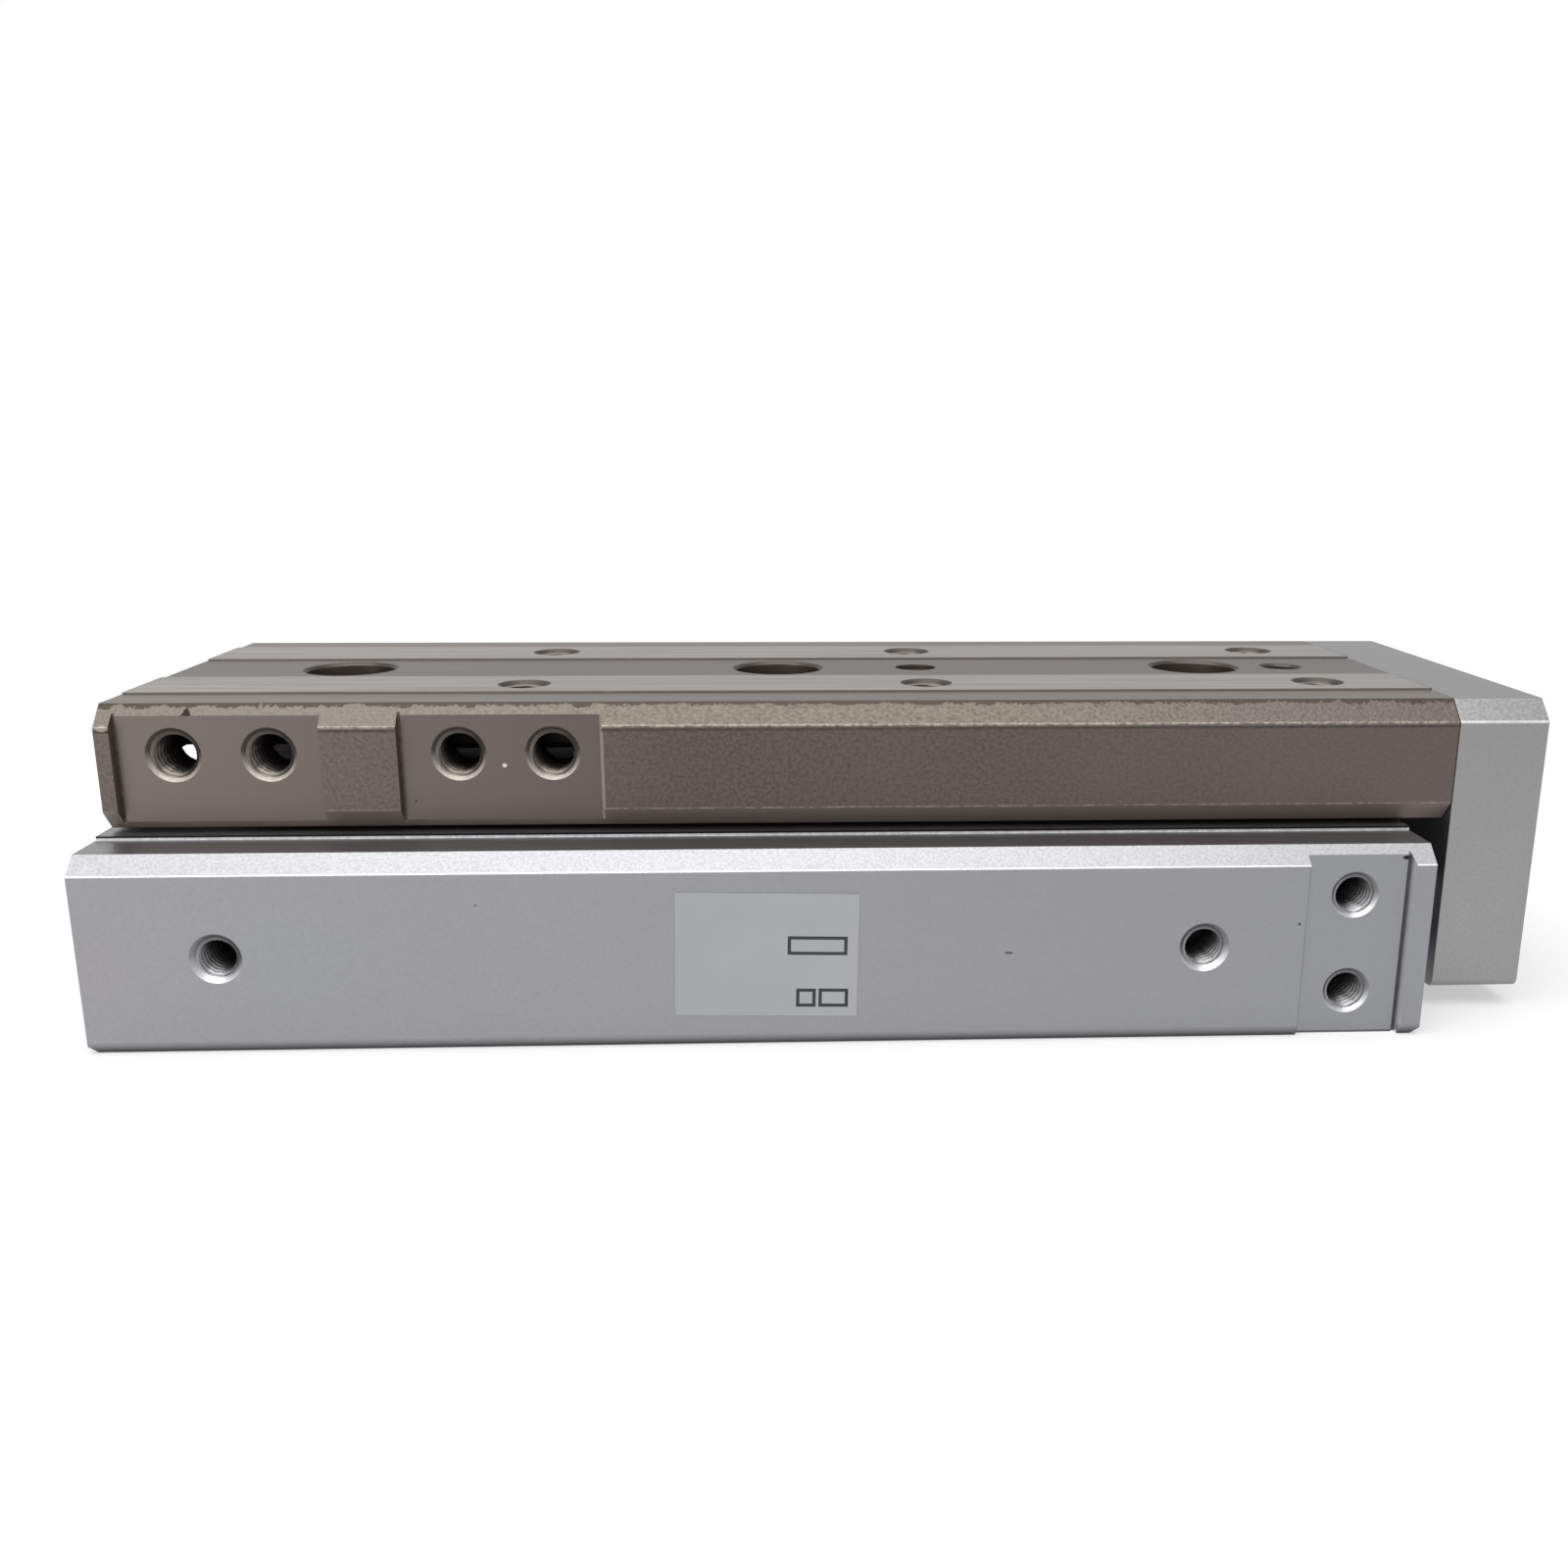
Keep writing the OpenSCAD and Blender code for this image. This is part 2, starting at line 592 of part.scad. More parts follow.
module table() {
    seat_floor = -table_w / 2 + seat_depth;
    seat_starts = [side_hole_x - side_hole_edge, side_hole_x + 3 * side_hole_pitch - side_hole_edge - 0.3];
    through = roof_t + eps;         // depth of a hole through the roof
    end_tap_x = plate_x - 15;
    color("#75695f") from_rear() difference() {
        translate([table_rear, 0, 0]) rotate([90, 0, 90]) linear_extrude(table_len) table_section();
        // raceways in the side walls
        for (s = [-1, 1]) along_x(race_r, table_rear - eps, plate_x + eps, s * race_y, ball_z);
        // access holes over the mounting holes of the body
        for (x = mount_x) translate([x, 0, 0]) hole_down(access_r, strip_z, through, 0.4);
        // tapped pairs through the pads
        for (x = pad_hole_x, s = [-1, 1])
            translate([x, s * pad_hole_pitch / 2, 0]) hole_down(m6_r, pad_z, through + pad_rise, 0.5);
        // locating pin hole and slotted pin hole in the channel
        translate([pad_hole_x[2], 0, 0]) hole_down(pin_r, strip_z, pin_depth, 0.35);
        translate([pad_hole_x[1], 0, strip_z - pin_depth]) slotted_pin_hole();
        // stop seats on the left side, each with two tapped holes
        for (x = seat_starts) translate([x, -table_w / 2 - eps, table_z - eps])
            seat_with_relief(table_seat_len, table_h);
        for (k = [0, 1, 3, 4]) translate([side_hole_x + k * side_hole_pitch, 0, table_z + side_hole_rise])
            hole_in(m6_r, seat_floor, wall_t + 1, 0.45);
        // tapped holes and dowel holes in the front end
        for (s = [-1, 1]) {
            translate([0, s * plate_screw[0], plate_screw[1]])
                along_x(m5_screw[0] + fit, end_tap_x, plate_x + eps);
            translate([0, s * plate_dowel[0], plate_dowel[1]])
                along_x(plate_dowel_r + fit, plate_x - 7, plate_x + eps);
        }
    }
}

// ---------------------------------------------------------------- end plate

// Outline as wide as the table, with the same top chamfers and small lower radii.
module plate_outline() {
    h = table_w / 2;
    r = plate_corner_r;
    polygon([
        [-h, plate_z + r], [h, plate_z + r], [h, strip_z - table_chamfer], [h - table_chamfer, strip_z],
        [-h + table_chamfer, strip_z], [-h, strip_z - table_chamfer]
    ]);
    translate([-h + r, plate_z]) square([table_w - 2 * r, 2 * r]);
    for (s = [-1, 1]) translate([s * (h - r), plate_z + r]) circle(r = r);
}

module end_plate() {
    front = plate_x + plate_t;
    tap_csk = 0.4;
    color("lightgray") from_rear() difference() {
        translate([plate_x, 0, 0]) rotate([90, 0, 90]) linear_extrude(plate_t) plate_outline();
        // floating rod ends
        both_bores() {
            along_x(rod_hole_r, plate_x - eps, front + eps);
            along_x(rod_pocket_r, rod_pocket_x, front + eps);
        }
        for (s = [-1, 1]) {
            // counterbored screws into the table, and the dowels beside them
            translate([0, s * plate_screw[0], plate_screw[1]]) {
                along_x(m5_screw[0] + 0.25, plate_x - eps, front + eps);
                along_x(m5_screw[1] + 0.5, plate_screw_seat, front + eps);
            }
            translate([0, s * plate_dowel[0], plate_dowel[1]])
                along_x(plate_dowel_r + fit, plate_x - eps, plate_x + 6);
            // tapped holes for the user's bracket
            for (z = plate_tap_z) translate([0, s * plate_tap_y, z]) {
                along_x(port_r, plate_x - eps, front + eps);
                cone_x(port_r, port_r + tap_csk + eps, front - tap_csk, front + eps);
            }
        }
    }
}

// M5 socket head screws from the end plate into the walls of the table.
module end_plate_screws()
    color("#303032") from_rear() for (s = [-1, 1])
        translate([0, s * plate_screw[0], plate_screw[1]])
            cap_screw_x(m5_screw, plate_screw_seat, 18, m5_screw[2]);

module end_plate_dowels()
    color("#b8b8bc") from_rear() for (s = [-1, 1])
        translate([0, s * plate_dowel[0], plate_dowel[1]])
            along_x(plate_dowel_r, plate_x - 6.5, plate_x + 5.8);

// ---------------------------------------------------------------- rods and pistons

module rod(side) {
    tip = 0.4;                      // chamfer at the tip
    flat_x = body_len + 1.2;
    flat_y = rod_r - 0.5;
    flat_len = 3;
    color("#d6d6da") from_rear() at_bore(side) difference() {
        union() {
            along_x(rod_r, rod_x[0], rod_x[1] - tip);
            cone_x(rod_r, rod_r - tip, rod_x[1] - tip, rod_x[1]);
        }
        along_x(m5_screw[0] + fit, rod_x[1] - 12, rod_x[1] + eps);
        // flats for a spanner
        for (s = [-1, 1]) translate([flat_x + flat_len / 2, s * (flat_y + rod_r / 2), 0])
            cube([flat_len, rod_r, 2 * rod_r + eps], center = true);
    }
}
module rod_left() rod(-1);
module rod_right() rod(1);

// Piston: grooved for two seals, a magnet and a wear ring, with a stud behind for the bumper.
module piston(side) {
    color("#9aa0a4") from_rear() at_bore(side) difference() {
        union() {
            along_x(bore_r - 0.1, piston_x[0], piston_x[1]);
            along_x(stud_r, piston_x[0] - stud_len, piston_x[0] + eps);
        }
        along_x(rod_r + fit, rod_x[0], piston_x[1] + eps);
        for (x = piston_seal_x) groove_x(seal_floor_r, x, x + 3);
        groove_x(seal_floor_r, magnet_x, magnet_x + 5);
        groove_x(wear_floor_r, wear_ring_x, wear_ring_x + 5);
    }
}
module piston_left() piston(-1);
module piston_right() piston(1);

// Double-lip seals, two on each piston.
module piston_seals()
    color("#1c1c1c") from_rear() both_bores() for (x = piston_seal_x)
        translate([x + 0.1, 0, 0]) rotate([0, 90, 0]) rotate_extrude()
            polygon([
                [seal_floor_r + 0.05, 0], [6.6, 0], [7.9, 0.1], [7.95, 0.5], [7.1, 1.4],
                [7.95, 2.3], [7.9, 2.7], [6.6, 2.8], [seal_floor_r + 0.05, 2.8]
            ]);

module piston_wear_rings()
    color("#6b4a2c") from_rear() both_bores()
        ring_x(7.95, wear_floor_r + 0.05, wear_ring_x + 0.1, wear_ring_x + 4.9);

module piston_magnets()
    color("#3c3f44") from_rear() both_bores()
        ring_x(7.6, seal_floor_r + 0.05, magnet_x + 0.1, magnet_x + 4.9);

// Rubber pads behind the pistons, which meet the head caps when the table comes home.
module rear_bumpers()
    color("#2a2a2a") from_rear() both_bores() difference() {
        along_x(5, head_cap_x[1] + 0.05, piston_x[0]);
        along_x(stud_r + fit, piston_x[0] - stud_len - 0.05, piston_x[0] + eps);
    }

// Bush, washer and bolt that let a rod end float in the end plate.
bush_end_x = rod_pocket_x + 0.1;
washer_end_x = bush_end_x + 1;

module floating_bushes()
    color("#a89a78") from_rear() both_bores()
        ring_x(rod_hole_r - 0.05, m5_screw[0] + 0.05, rod_x[1], bush_end_x);

module rod_washers()
    color("#8f9296") from_rear() both_bores() ring_x(5.2, m5_screw[0] + 0.15, bush_end_x, washer_end_x);

module rod_bolts()
    color("#303032") from_rear() both_bores() cap_screw_x(m5_screw, washer_end_x, 17, rod_bolt_head_h);

// ---------------------------------------------------------------- nodes

body();
head_cap_left();
head_cap_right();
head_cap_o_rings();
rear_retaining_rings();
rod_cover_left();
rod_cover_right();
rod_cover_o_rings();
rod_bushes();
rod_seals();
front_retaining_rings();
front_bumpers();
guide_block();
guide_block_screws();
return_cover_rear();
return_cover_front();
return_cover_screws();
scraper_rear();
scraper_front();
ball_circuit_left();
ball_circuit_right();
table();
end_plate();
end_plate_screws();
end_plate_dowels();
rod_left();
rod_right();
piston_left();
piston_right();
piston_seals();
piston_wear_rings();
piston_magnets();
rear_bumpers();
floating_bushes();
rod_washers();
rod_bolts();
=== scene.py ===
"""Looks of a twin-bore pneumatic slide table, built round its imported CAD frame, in metres."""

import math

import bpy
import numpy as np
from mathutils import Matrix, Vector


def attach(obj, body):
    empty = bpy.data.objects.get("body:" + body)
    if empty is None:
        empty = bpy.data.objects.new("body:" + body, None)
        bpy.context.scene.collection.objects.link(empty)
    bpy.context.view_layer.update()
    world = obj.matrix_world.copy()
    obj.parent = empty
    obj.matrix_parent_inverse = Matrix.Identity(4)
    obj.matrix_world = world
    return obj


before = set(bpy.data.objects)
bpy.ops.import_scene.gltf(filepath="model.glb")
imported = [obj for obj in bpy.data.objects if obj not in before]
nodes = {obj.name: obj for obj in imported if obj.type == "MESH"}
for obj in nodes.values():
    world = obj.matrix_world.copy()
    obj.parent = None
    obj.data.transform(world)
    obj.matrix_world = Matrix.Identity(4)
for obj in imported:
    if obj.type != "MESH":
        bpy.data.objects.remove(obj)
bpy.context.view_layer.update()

# ---------------------------------------------------------------- studio
# A pale table top and a white surround, lit by one wide soft box overhead, a weaker one in
# front and an even surround, so that the metal shows soft bright bands along its chamfers.

MM = 0.001
FLOOR_SIZE = 6.0
FLOOR_COLOUR = 0.95  # as it is seen
FLOOR_BOUNCE = 0.5  # as it throws light back
FLOOR_PLAIN = (0.12, 0.35)  # distances between which it turns plain white
FLOOR_PLAIN_NEAR = 0.45  # share of plain white nearer than that
SURROUND = 0.5
SURROUND_SIDES = (1.10, 0.80)  # gain at the far left and the far right
SURROUND_REAR = 0.76  # gain behind the slide
SURROUND_TURN = (0.2, 0.95)  # part of a direction's y over which the gain falls to that


def place(tree, kind, values=None, **settings):
    """Adds a node. settings are its properties; values are its inputs, as numbers or as sockets."""
    new = tree.nodes.new(kind)
    for key, value in settings.items():
        setattr(new, key, value)
    for key, value in (values or {}).items():
        if isinstance(value, bpy.types.NodeSocket):
            tree.links.new(value, new.inputs[key])
        else:
            new.inputs[key].default_value = value
    return new


def math_of(tree, operation, *values):
    """One Math node's output; values are numbers or sockets."""
    return place(tree, "ShaderNodeMath", dict(enumerate(values)), operation=operation).outputs[0]


def map_of(tree, value, low, high, low_in=0.0, high_in=1.0, **settings):
    """One Map Range node's output: value from low_in..high_in onto low..high, clamped."""
    values = {
        "Value": value, "From Min": low_in, "From Max": high_in, "To Min": low, "To Max": high,
    }
    return place(tree, "ShaderNodeMapRange", values, **settings).outputs["Result"]


def distance_of(tree, across, up):
    """sqrt(across ** 2 + up ** 2) of two sockets."""
    squares = [math_of(tree, "MULTIPLY", leg, leg) for leg in (across, up)]
    return math_of(tree, "SQRT", math_of(tree, "ADD", *squares))


def soft_box(name, at, aim, size, watts):
    """Square area lamp at a point, turned to face another."""
    lamp = bpy.data.lights.new(name, "AREA")
    lamp.size = size
    lamp.energy = watts
    holder = bpy.data.objects.new(name, lamp)
    holder.location = at
    holder.rotation_euler = (Vector(aim) - Vector(at)).to_track_quat("-Z", "Y").to_euler()
    bpy.context.collection.objects.link(holder)


def seen_by_eye(tree):
    """1 for camera, glossy and transmission rays, 0 for the rays that light the object."""
    path = place(tree, "ShaderNodeLightPath").outputs
    shiny = math_of(tree, "MAXIMUM", path["Is Glossy Ray"], path["Is Transmission Ray"])
    return math_of(tree, "MAXIMUM", path["Is Camera Ray"], shiny)


def build_surround():
    """White to the eye. As light and reflections it is brightest to the left and dimmer behind."""
    world = bpy.data.worlds.new("surround")
    world.use_nodes = True
    tree = world.node_tree
    direct = place(tree, "ShaderNodeLightPath").outputs["Is Camera Ray"]
    toward = place(tree, "ShaderNodeTexCoord").outputs["Generated"]
    toward = place(tree, "ShaderNodeSeparateXYZ", {0: toward}).outputs
    gain = math_of(
        tree, "MULTIPLY",
        map_of(tree, toward["X"], *SURROUND_SIDES, -1.0, 1.0),
        map_of(tree, toward["Y"], 1.0, SURROUND_REAR, *SURROUND_TURN),
    )
    level = math_of(tree, "MULTIPLY", map_of(tree, seen_by_eye(tree), SURROUND, 1.0), gain)
    strength = math_of(tree, "MAXIMUM", level, direct)
    tree.nodes["Background"].inputs["Color"].default_value = (1, 1, 1, 1)
    tree.links.new(strength, tree.nodes["Background"].inputs["Strength"])
    bpy.context.scene.world = world


def build_floor():
    """Flat sheet. To the eye it turns from shaded paper near the slide to plain white far off."""
    half = FLOOR_SIZE / 2
    corners = [(-half, -half, 0), (half, -half, 0), (half, half, 0), (-half, half, 0)]
    mesh = bpy.data.meshes.new("floor")
    mesh.from_pydata(corners, [], [(0, 1, 2, 3)])
    floor = bpy.data.objects.new("floor", mesh)
    bpy.context.collection.objects.link(floor)
    paper = bpy.data.materials.new("floor_paper")
    paper.use_nodes = True
    tree = paper.node_tree
    seen = seen_by_eye(tree)
    shaded = tree.nodes["Principled BSDF"]
    tree.links.new(map_of(tree, seen, FLOOR_BOUNCE, FLOOR_COLOUR), shaded.inputs["Base Color"])
    shaded.inputs["Roughness"].default_value = 0.9
    shaded.inputs["Specular IOR Level"].default_value = 0.1
    spot = place(tree, "ShaderNodeTexCoord").outputs["Object"]
    far = place(tree, "ShaderNodeVectorMath", {0: spot}, operation="LENGTH").outputs["Value"]
    fade = map_of(tree, far, FLOOR_PLAIN_NEAR, 1.0, *FLOOR_PLAIN)
    white = place(tree, "ShaderNodeEmission")
    mix = place(
        tree, "ShaderNodeMixShader",
        {0: math_of(tree, "MULTIPLY", seen, fade), 1: shaded.outputs[0], 2: white.outputs[0]},
    )
    tree.links.new(mix.outputs[0], tree.nodes["Material Output"].inputs["Surface"])
    mesh.materials.append(paper)


build_surround()
build_floor()
soft_box("overhead_box", at=(-0.06, -0.12, 0.62), aim=(0, 0, 0), size=0.75, watts=4.6)
soft_box("front_box", at=(-0.8, -0.9, 0.45), aim=(0, 0, 0.02), size=0.9, watts=2.0)

# ---------------------------------------------------------------- camera
# A phone camera held low and close in front of the slide, a little above its table.

CAMERA_AT = (-0.00699, -0.20030, 0.06901)
CAMERA_YAW = 0.05002
CAMERA_PITCH = -0.26188
CAMERA_ROLL = 0.00477
SENSOR = 36  # width in millimetres
FOCAL = 0.94026  # focal length over the width of the sensor
CAMERA_SHIFT = (-0.04022, 0.03314)


def build_camera():
    """Looks along (sin yaw cos pitch, cos yaw cos pitch, sin pitch), rolled about that line."""
    ahead = Vector((
        math.sin(CAMERA_YAW) * math.cos(CAMERA_PITCH),
        math.cos(CAMERA_YAW) * math.cos(CAMERA_PITCH),
        math.sin(CAMERA_PITCH),
    ))
    level = Vector((math.cos(CAMERA_YAW), -math.sin(CAMERA_YAW), 0))
    up = level.cross(ahead)
    right = math.cos(CAMERA_ROLL) * level + math.sin(CAMERA_ROLL) * up
    up = right.cross(ahead)
    lens = bpy.data.cameras.new("camera")
    lens.sensor_width = SENSOR
    lens.lens = SENSOR * FOCAL
    lens.shift_x, lens.shift_y = CAMERA_SHIFT
    lens.clip_start = 0.01
    holder = bpy.data.objects.new("camera", lens)
    turn = Matrix((right, up, -ahead)).transposed().to_4x4()
    holder.matrix_world = Matrix.Translation(CAMERA_AT) @ turn
    bpy.context.collection.objects.link(holder)
    bpy.context.scene.camera = holder


build_camera()
bpy.context.scene.view_settings.view_transform = "Standard"

# ---------------------------------------------------------------- body
# The body is a drawn aluminium section, bead blasted and clear anodised, then bored and milled.
# Its long edges carry a painted highlight line.


def linear(red, green, blue):
    """Linear colour of an 8-bit display one: ((c + 0.055) / 1.055) ** 2.4."""
    tone = [((c / 255 + 0.055) / 1.055) ** 2.4 for c in (red, green, blue)]
    return (*tone, 1)


def new_group(name, inputs, outputs):
    """Shader node group with float or vector inputs {name: default} and float outputs."""
    tree = bpy.data.node_groups.new(name, "ShaderNodeTree")
    for key, value in inputs.items():
        kind = "NodeSocketVector" if isinstance(value, tuple) else "NodeSocketFloat"
        socket = tree.interface.new_socket(key, in_out="INPUT", socket_type=kind)
        socket.default_value = value
    for key in outputs:
        tree.interface.new_socket(key, in_out="OUTPUT", socket_type="NodeSocketFloat")
    start = tree.nodes.new("NodeGroupInput")
    end = tree.nodes.new("NodeGroupOutput")
    return tree, start.outputs, end.inputs


def build_grain_group():
    """Noise of a given grain size along each axis: its height, and a slow drift of tone."""
    tree, given, result = new_group(
        "surface_grain",
        {"Place": (0.0, 0.0, 0.0), "Grain": (1.0, 1.0, 1.0), "Detail": 3.0, "Drift": 30.0},
        ["Height", "Tone"],
    )
    scaled = place(
        tree, "ShaderNodeVectorMath", {0: given["Place"], 1: given["Grain"]}, operation="DIVIDE"
    ).outputs[0]
    grain = place(
        tree, "ShaderNodeTexNoise", {"Vector": scaled, "Scale": 1.0, "Detail": given["Detail"]}
    )
    slow = place(
        tree, "ShaderNodeVectorMath",
        {0: given["Place"], 3: math_of(tree, "DIVIDE", 1.0, given["Drift"])}, operation="SCALE",
    ).outputs[0]
    tone = place(tree, "ShaderNodeTexNoise", {"Vector": slow, "Scale": 1.0, "Detail": 2.0})
    tree.links.new(grain.outputs["Fac"], result["Height"])
    tree.links.new(tone.outputs["Fac"], result["Tone"])
    return tree


def build_edge_group():
    """Mask along a lengthwise edge: 1 on the line (|y|, z) = (Edge Y, Edge Z), fading over Width.
    Break is how far it is broken up in patches, whose size is the Grain. It draws the painted
    highlight and shade lines along edges."""
    tree, given, result = new_group(
        "edge_line",
        {
            "Place": (0.0, 0.0, 0.0), "Edge Y": 0.0, "Edge Z": 0.0,
            "Width": 0.3, "Break": 0.5, "Grain": 0.4,
        },
        ["Mask"],
    )
    at = place(tree, "ShaderNodeSeparateXYZ", {0: given["Place"]}).outputs
    across = math_of(tree, "SUBTRACT", math_of(tree, "ABSOLUTE", at["Y"]), given["Edge Y"])
    up = math_of(tree, "SUBTRACT", at["Z"], given["Edge Z"])
    gap = distance_of(tree, across, up)
    core = math_of(tree, "MULTIPLY", given["Width"], 0.3)
    near = map_of(tree, gap, 0.0, 1.0, given["Width"], core, interpolation_type="SMOOTHSTEP")
    scaled = place(
        tree, "ShaderNodeVectorMath",
        {0: given["Place"], 3: math_of(tree, "DIVIDE", 1.0, given["Grain"])}, operation="SCALE",
    ).outputs[0]
    noise = place(tree, "ShaderNodeTexNoise", {"Vector": scaled, "Scale": 1.0, "Detail": 3.0})
    worn = map_of(tree, noise.outputs["Fac"], 0.0, 1.0, 0.4, 0.6)
    kept = math_of(
        tree, "SUBTRACT", 1.0,
        math_of(tree, "MULTIPLY", given["Break"], math_of(tree, "SUBTRACT", 1.0, worn)),
    )
    tree.links.new(math_of(tree, "MULTIPLY", near, kept), result["Mask"])
    return tree


def build_spot_group():
    """Mask of a small mark: 1 inside an ellipsoid round Centre with the half sizes Reach, and
    soft at its rim."""
    tree, given, result = new_group(
        "spot_mark",
        {"Place": (0.0, 0.0, 0.0), "Centre": (0.0, 0.0, 0.0), "Reach": (1.0, 1.0, 1.0)},
        ["Mask"],
    )
    offset = place(
        tree, "ShaderNodeVectorMath", {0: given["Place"], 1: given["Centre"]}, operation="SUBTRACT"
    ).outputs[0]
    scaled = place(
        tree, "ShaderNodeVectorMath", {0: offset, 1: given["Reach"]}, operation="DIVIDE"
    ).outputs[0]
    far = place(tree, "ShaderNodeVectorMath", {0: scaled}, operation="LENGTH").outputs["Value"]
    mask = map_of(tree, far, 0.0, 1.0, 1.0, 0.6, interpolation_type="SMOOTHSTEP")
    tree.links.new(mask, result["Mask"])
    return tree


GRAIN = build_grain_group()
EDGE = build_edge_group()
SPOT = build_spot_group()


class Finish:
    """One material under construction. Its positions are Object coordinates in millimetres."""

    def __init__(self, name, metallic, roughness):
        self.material = bpy.data.materials.new(name)
        self.material.use_nodes = True
        self.tree = self.material.node_tree
        self.shader = self.tree.nodes["Principled BSDF"]
        self.shader.inputs["Metallic"].default_value = metallic
        self.shader.inputs["Roughness"].default_value = roughness
        coordinates = place(self.tree, "ShaderNodeTexCoord").outputs
        self.place = self.node(
            "ShaderNodeVectorMath", {0: coordinates["Object"], 3: 1 / MM}, operation="SCALE"
        ).outputs[0]
        at = self.node("ShaderNodeSeparateXYZ", {0: self.place}).outputs
        self.x, self.y, self.z = at["X"], at["Y"], at["Z"]
        faces = self.node("ShaderNodeSeparateXYZ", {0: coordinates["Normal"]}).outputs
        self.face_x, self.face_y, self.face_z = faces["X"], faces["Y"], faces["Z"]

    def node(self, kind, values=None, **settings):
        return place(self.tree, kind, values, **settings)

    def math(self, operation, *values):
        return math_of(self.tree, operation, *values)

    def fold(self, operation, values):
        """One value out of many, taken two at a time from the first."""
        result = values[0]
        for value in values[1:]:
            result = self.math(operation, result, value)
        return result

    def all_of(self, *masks):
        """Where all the masks are; a plain number among them weakens the result."""
        return self.fold("MULTIPLY", masks)

    def any_of(self, *masks):
        """Where any of the masks is."""
        return self.fold("MAXIMUM", masks)

    def relief(self, *layers):
        """Sum of layers, each a noise height from 0 to 1 and its depth in mm."""
        depths = [self.math("MULTIPLY", height, depth) for height, depth in layers]
        return self.fold("ADD", depths)

    def above(self, value, limit):
        return self.math("GREATER_THAN", value, limit)

    def below(self, value, limit):
        return self.math("LESS_THAN", value, limit)

    def between(self, value, low, high):
        return self.all_of(self.above(value, low), self.below(value, high))

    def group(self, tree, values):
        """Outputs of a shader group, given the place on the surface and these values."""
        values = {"Place": self.place, **values}
        return self.node("ShaderNodeGroup", values, node_tree=tree).outputs

    def grain(self, size, detail=3.0, drift=30.0):
        """Height and tone of the grain group; size is the grain along x, y and z in mm."""
        found = self.group(GRAIN, {"Grain": size, "Detail": detail, "Drift": drift})
        return found["Height"], found["Tone"]

    def edge(self, y, z, width, broken=0.5, grain=0.4):
        """Mask along the lengthwise edge at |y|, z."""
        values = {"Edge Y": y, "Edge Z": z, "Width": width, "Break": broken, "Grain": grain}
        return self.group(EDGE, values)["Mask"]

    def spot(self, centre, reach):
        """Mask of a small mark."""
        return self.group(SPOT, {"Centre": centre, "Reach": reach})["Mask"]

    def spread(self, value, low, high, low_in=0.3, high_in=0.7):
        """Maps a noise value from low_in..high_in onto low..high."""
        return map_of(self.tree, value, low, high, low_in, high_in)

    def mix(self, kind, base, value, mask):
        """Base where mask is 0, value where it is 1. The Mix node has its own sockets per kind."""
        first, second, mixed = {"FLOAT": (2, 3, 0), "RGBA": (6, 7, 2)}[kind]
        values = {0: mask, first: base, second: value}
        settings = {"data_type": kind, "clamp_factor": True}
        return self.node("ShaderNodeMix", values, **settings).outputs[mixed]

    def lay(self, base, colour, mask):
        """Colour over base where mask is 1. Each is a linear colour or a socket."""
        return self.mix("RGBA", base, colour, mask)

    def blend(self, base, value, mask):
        """The same for numbers."""
        return self.mix("FLOAT", base, value, mask)

    def finish(self, colour, roughness=None, height=None, metallic=None):
        """Feeds the shader and gives the material. The height is a relief in millimetres."""
        normal = None
        if height is not None:
            normal = self.node("ShaderNodeBump", {"Height": height, "Distance": MM}).outputs[0]
        fed = {"Base Color": colour, "Roughness": roughness, "Metallic": metallic, "Normal": normal}
        for key, value in fed.items():
            if value is not None:
                self.tree.links.new(value, self.shader.inputs[key])
        return self.material


def give(material, *names):
    """Puts a material in the slots of CAD nodes."""
    for name in names:
        for slot in nodes[name].material_slots:
            slot.material = material


WELD_GAP = 0.001 * MM
FLAT_ANGLE = math.radians(0.3)  # triangles that meet at less become one face
SHARP_ANGLE = math.radians(35)  # edges that turn by more get a bevel
EDGE_BREAK = 0.12 * MM


def soften(name, width=EDGE_BREAK):
    """Joins a CAD node's loose triangles and breaks its sharp edges by a small round bevel."""
    weld = nodes[name].modifiers.new("weld", "WELD")
    weld.merge_threshold = WELD_GAP
    flat = nodes[name].modifiers.new("flat_faces", "DECIMATE")
    flat.decimate_type = "DISSOLVE"
    flat.angle_limit = FLAT_ANGLE
    bevel = nodes[name].modifiers.new("edge_break", "BEVEL")
    bevel.width = width
    bevel.segments = 2
    bevel.angle_limit = SHARP_ANGLE
    nodes[name].modifiers.new("even_shading", "WEIGHTED_NORMAL")


ALUMINIUM = linear(154, 155, 157)
ALUMINIUM_WARM = linear(157, 154, 156)
ALUMINIUM_FRONT = linear(148, 149, 153)
ALUMINIUM_SHADE = linear(142, 142, 144)
ALUMINIUM_MILLED = linear(150, 149, 150)
# colour of the painted highlight lines along the edges
ALUMINIUM_HIGHLIGHT = linear(222, 223, 226)
ALUMINIUM_SLOPE = linear(153, 153, 156)
ALUMINIUM_SLOPE_DARK = linear(141, 141, 144)
ALUMINIUM_WALL_HIGHLIGHT = linear(236, 236, 240)
# painted light and painted shade copies of the countersink colour
ALUMINIUM_CONE_HIGHLIGHT = linear(196, 197, 200)
ALUMINIUM_CONE_SHADE = linear(132, 132, 134)
ALUMINIUM_BORE_SHADE = linear(78, 78, 79)
ALUMINIUM_SHADE_LINE = linear(104, 104, 107)
ALUMINIUM_SHADOW = linear(36, 36, 37)
ALUMINIUM_FOOT_SHADE = linear(76, 76, 78)
BEAD_GRAIN = (0.16, 0.16, 0.16)  # grain sizes along x, y and z in mm, as all of this kind
BLAST_GRAIN = (0.42, 0.42, 0.42)
SPECK_GRAIN = (0.30, 0.30, 0.30)
DRAWN_GRAIN = (14.0, 0.11, 0.11)
BEAD_DEPTH, BLAST_DEPTH, DRAWN_DEPTH = 0.010, 0.012, 0.003
